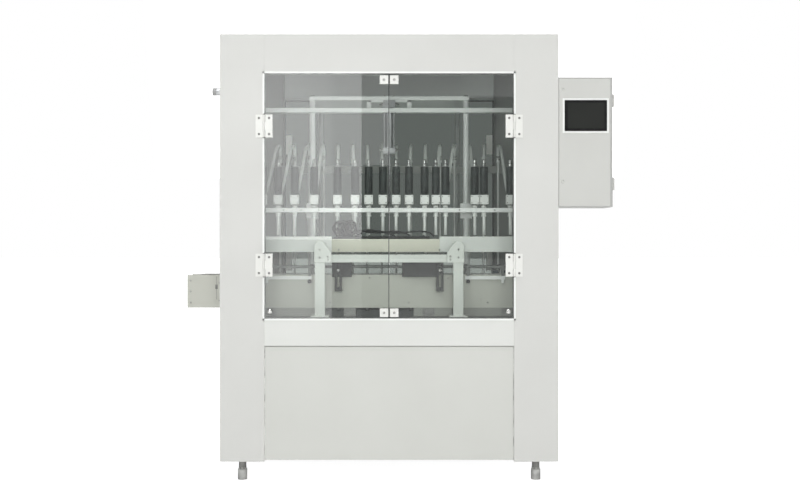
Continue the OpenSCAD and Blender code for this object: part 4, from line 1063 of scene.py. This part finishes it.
# ---- Conveyor gearmotor ----
# Worm gearbox with a finned motor behind the conveyor's right end, in grey blue enamel.
# The box is flanged to the side plate, and its hollow output turns the drive shaft.
motor_paint = painted_material("gearmotor_enamel", (0.09, 0.12, 0.14), (0.07, 0.1, 0.115), 0.4)
finish_node(motor_paint, "conveyor_gearmotor", edge=0.003)
motor_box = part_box("conveyor_gearmotor")
motor_y = side_box[1].y + 0.054
bm = bmesh.new()
for k in range(22):
    a = 2 * math.pi * k / 22
    radial = Vector((0, math.cos(a), math.sin(a)))
    tangent = Vector((0, -math.sin(a), math.cos(a)))
    under_terminal_box = abs(a - 1.57) < 0.75
    if under_terminal_box or motor_y + math.cos(a) * 0.058 < side_box[1].y + 0.002:
        continue
    corners = [Vector((0, motor_y, wheel_z)) + radial * r + tangent * t
               for r, t in ((0.0505, -0.0016), (0.0575, -0.001), (0.0575, 0.001), (0.0505, 0.0016))]
    prism(bm, corners, Vector((motor_box[0].x + 0.035, 0, 0)), Vector((motor_box[0].x + 0.185, 0, 0)))
mesh_piece("motor_fins", bm, motor_paint, "cabinet")

# ---- Pump bank ----
# Sixteen piston pumps hang from one steel plate over a common drive beam. A servo cylinder moves
# the beam. Product reaches the valve heads through a manifold with a clamp ferrule at the rear.
pump_steel = steel_material("pump_honed_steel", (0.74, 0.75, 0.74), (0.6, 0.61, 0.6),
                            (260, 260, 5), 0.26)
finish_node(pump_steel, "pump_cylinders", "product_manifold", edge=0.001)
finish_node(anodised, "pump_pistons", edge=0.001)
finish_node(frame_grey, "pump_frame", edge=0.0016)
servo_black = moulded_material("servo_black_anodised", (0.03, 0.03, 0.032), 0.38)
finish_node(servo_black, "servo_drive", edge=0.003)
pump_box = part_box("pump_cylinders")
bm = bmesh.new()
for x in riser_x:
    for z in (pump_box[0].z + 0.002, pump_box[0].z + 0.178):
        turned(bm, (x, riser_y, z), UP, [(0.0285, 0), (0.0335, 0.001), (0.0342, 0.004),
                                         (0.0342, 0.011), (0.0335, 0.014), (0.0285, 0.015)], 24, True)
    for dx in (-0.018, 0.018):
        screw(bm, (x + dx, riser_y - 0.03, pump_box[1].z - 0.012), FRONT, 0.0038, 0.003)
mesh_piece("pump_collars", bm, tip_steel, "cabinet")

# ---- Services ----
# Air inlet on the left wall: a cast filter regulator with a grey plastic socket screwed into it.
# Behind, a red isolator knob on a yellow plate held by four screws.
finish_node(anodised, "air_inlet", edge=0.0012)
switch_red = painted_material("switch_red_plastic", (0.52, 0.02, 0.015), (0.46, 0.018, 0.014), 0.3)
finish_node(switch_red, "main_switch", edge=0.0022)
switch_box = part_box("main_switch")
switch_x = (switch_box[0].x + switch_box[1].x) / 2
switch_z = (switch_box[0].z + switch_box[1].z) / 2
bm = bmesh.new()
block(bm, (switch_x - 0.042, rear_y - 0.0005, switch_z - 0.042),
      (switch_x + 0.042, rear_y + 0.002, switch_z + 0.042), 0.0009)
for dx in (-0.034, 0.034):
    for dz in (-0.034, 0.034):
        screw(bm, (switch_x + dx, rear_y + 0.002, switch_z + dz), (0, 1, 0), 0.0032, 0.002)
plate_yellow = painted_material("switch_plate_yellow", (0.72, 0.5, 0.03), (0.66, 0.45, 0.025), 0.35)
mesh_piece("switch_plate", bm, plate_yellow, "cabinet")
air_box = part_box("air_inlet")
inlet_grey = painted_material("inlet_grey_plastic", (0.4, 0.4, 0.4), (0.36, 0.36, 0.36), 0.6, 0.0)
air_y, air_z = front_y + 0.1, air_box[0].z + 0.09
bm = bmesh.new()
turned(bm, (air_box[0].x + 0.0012, air_y, air_z), (1, 0, 0),
       [(0.0136, 0), (0.018, 0.0008), (0.0187, 0.002), (0.0187, 0.0028), (0.0187, 0.0192),
        (0.0187, 0.02), (0.0166, 0.0212), (0.0166, 0.0236), (0.0187, 0.0248), (0.0187, 0.0256),
        (0.0187, 0.0467), (0.0187, 0.0475), (0.0136, 0.0485)], 24, True)
mesh_piece("air_inlet_socket", bm, inlet_grey, "cabinet")

# ---- Floor, sky and lights ----
# Plain pale floor, an even pale surround, and large soft lamps in front, above and behind.
# The window_glow lamps are seen only in reflection and give the door glass its bright bands.


def studio_sky():
    world = bpy.data.worlds.new("studio_sky")
    bpy.context.scene.world = world
    world.use_nodes = True
    tree = world.node_tree
    back = tree.nodes["Background"]
    back.inputs["Color"].default_value = (0.62, 0.64, 0.63, 1)
    back.inputs["Strength"].default_value = 0.42
    white = node(tree, "ShaderNodeBackground")
    white.inputs["Color"].default_value = (1, 1, 1, 1)
    white.inputs["Strength"].default_value = 1.0
    path = node(tree, "ShaderNodeLightPath")
    mix = node(tree, "ShaderNodeMixShader")
    tree.links.new(path.outputs["Is Camera Ray"], mix.inputs[0])
    tree.links.new(back.outputs[0], mix.inputs[1])
    tree.links.new(white.outputs[0], mix.inputs[2])
    tree.links.new(mix.outputs[0], tree.nodes["World Output"].inputs["Surface"])


studio_sky()
bpy.context.scene.view_settings.view_transform = "Standard"


def floor_material():
    """Matt pale floor. What the camera sees of it is lifted, so it meets the surround evenly."""
    material, tree, shader = blank_material("floor_pale")
    cloud = place_cloudiness(tree, 0.4, 60.0)
    colour_between(tree, shader, cloud.outputs["Patches"], (0.93, 0.93, 0.93), (0.915, 0.915, 0.915))
    shader.inputs["Roughness"].default_value = 0.9
    glow = node(tree, "ShaderNodeEmission")
    path = node(tree, "ShaderNodeLightPath")
    lift = node(tree, "ShaderNodeMath", operation="MULTIPLY")
    lift.inputs[1].default_value = 0.95
    total = node(tree, "ShaderNodeAddShader")
    tree.links.new(path.outputs["Is Camera Ray"], lift.inputs[0])
    tree.links.new(lift.outputs[0], glow.inputs["Strength"])
    tree.links.new(shader.outputs[0], total.inputs[0])
    tree.links.new(glow.outputs[0], total.inputs[1])
    tree.links.new(total.outputs[0], tree.nodes["Material Output"].inputs["Surface"])
    return material


bm = bmesh.new()
bmesh.ops.create_grid(bm, x_segments=8, y_segments=8, size=60.0)
floor = mesh_piece("studio_floor", bm, floor_material())


def lamp(name, place, aim, size, power, seen_through_glass=True, only_in_gloss=False):
    """Soft rectangular lamp at a place, aimed at a point; size is (width, height)."""
    data = bpy.data.lights.new(name, "AREA")
    data.shape = "RECTANGLE"
    data.size, data.size_y = size
    data.energy = power
    light = bpy.data.objects.new(name, data)
    light.location = place
    light.rotation_euler = (Vector(aim) - Vector(place)).to_track_quat("-Z", "Y").to_euler()
    light.visible_transmission = seen_through_glass and not only_in_gloss
    light.visible_diffuse = not only_in_gloss
    light.visible_camera = not only_in_gloss
    bpy.context.scene.collection.objects.link(light)
    return light


lamp("front_softbox", (-2.8, -5.2, 4.9), (0, 0, 1.0), (3.6, 2.6), 80)
lamp("front_fill", (4.2, -5.0, 2.8), (0, 0, 1.0), (3.0, 3.0), 35)
# name, middle, width, low and high edge, radiance
for name, x, wide, low_z, high_z, glow in (
        ("left_upper", -1.175, 0.89, 1.15, 3.4, 6.0), ("left_lower", -1.175, 0.89, 0.0, 1.15, 3.0),
        ("middle_upper", -0.54, 0.38, 1.15, 3.4, 5.2), ("middle_lower", -0.54, 0.38, 0.0, 1.15, 0.7),
        ("centre_upper", -0.175, 0.35, 2.1, 3.4, 1.9), ("right_all", 0.8, 1.6, 0.0, 3.4, 0.3),
        ("right_top", 0.8, 1.6, 2.97, 3.6, 1.4)):
    z, tall = (low_z + high_z) / 2, high_z - low_z
    lamp("window_glow_" + name, (x, -9.0, z), (x, 0, z), (wide, tall), glow * math.pi * wide * tall,
         only_in_gloss=True)
level = lamp("level_fill", (0.3, -8.0, 1.9), (0, 0, 1.3), (3.0, 2.0), 150, seen_through_glass=False)
level.visible_glossy = False
lamp("back_light", (0, 5.5, 3.0), (0, 0, 1.2), (5.0, 2.5), 60, seen_through_glass=False)
sky_lamp = bpy.data.lights.new("overhead_sun", "SUN")
sky_lamp.energy = 1.6
sky_lamp.angle = math.radians(50)
overhead = bpy.data.objects.new("overhead_sun", sky_lamp)
overhead.rotation_euler = (math.radians(12), 0, 0)
bpy.context.scene.collection.objects.link(overhead)
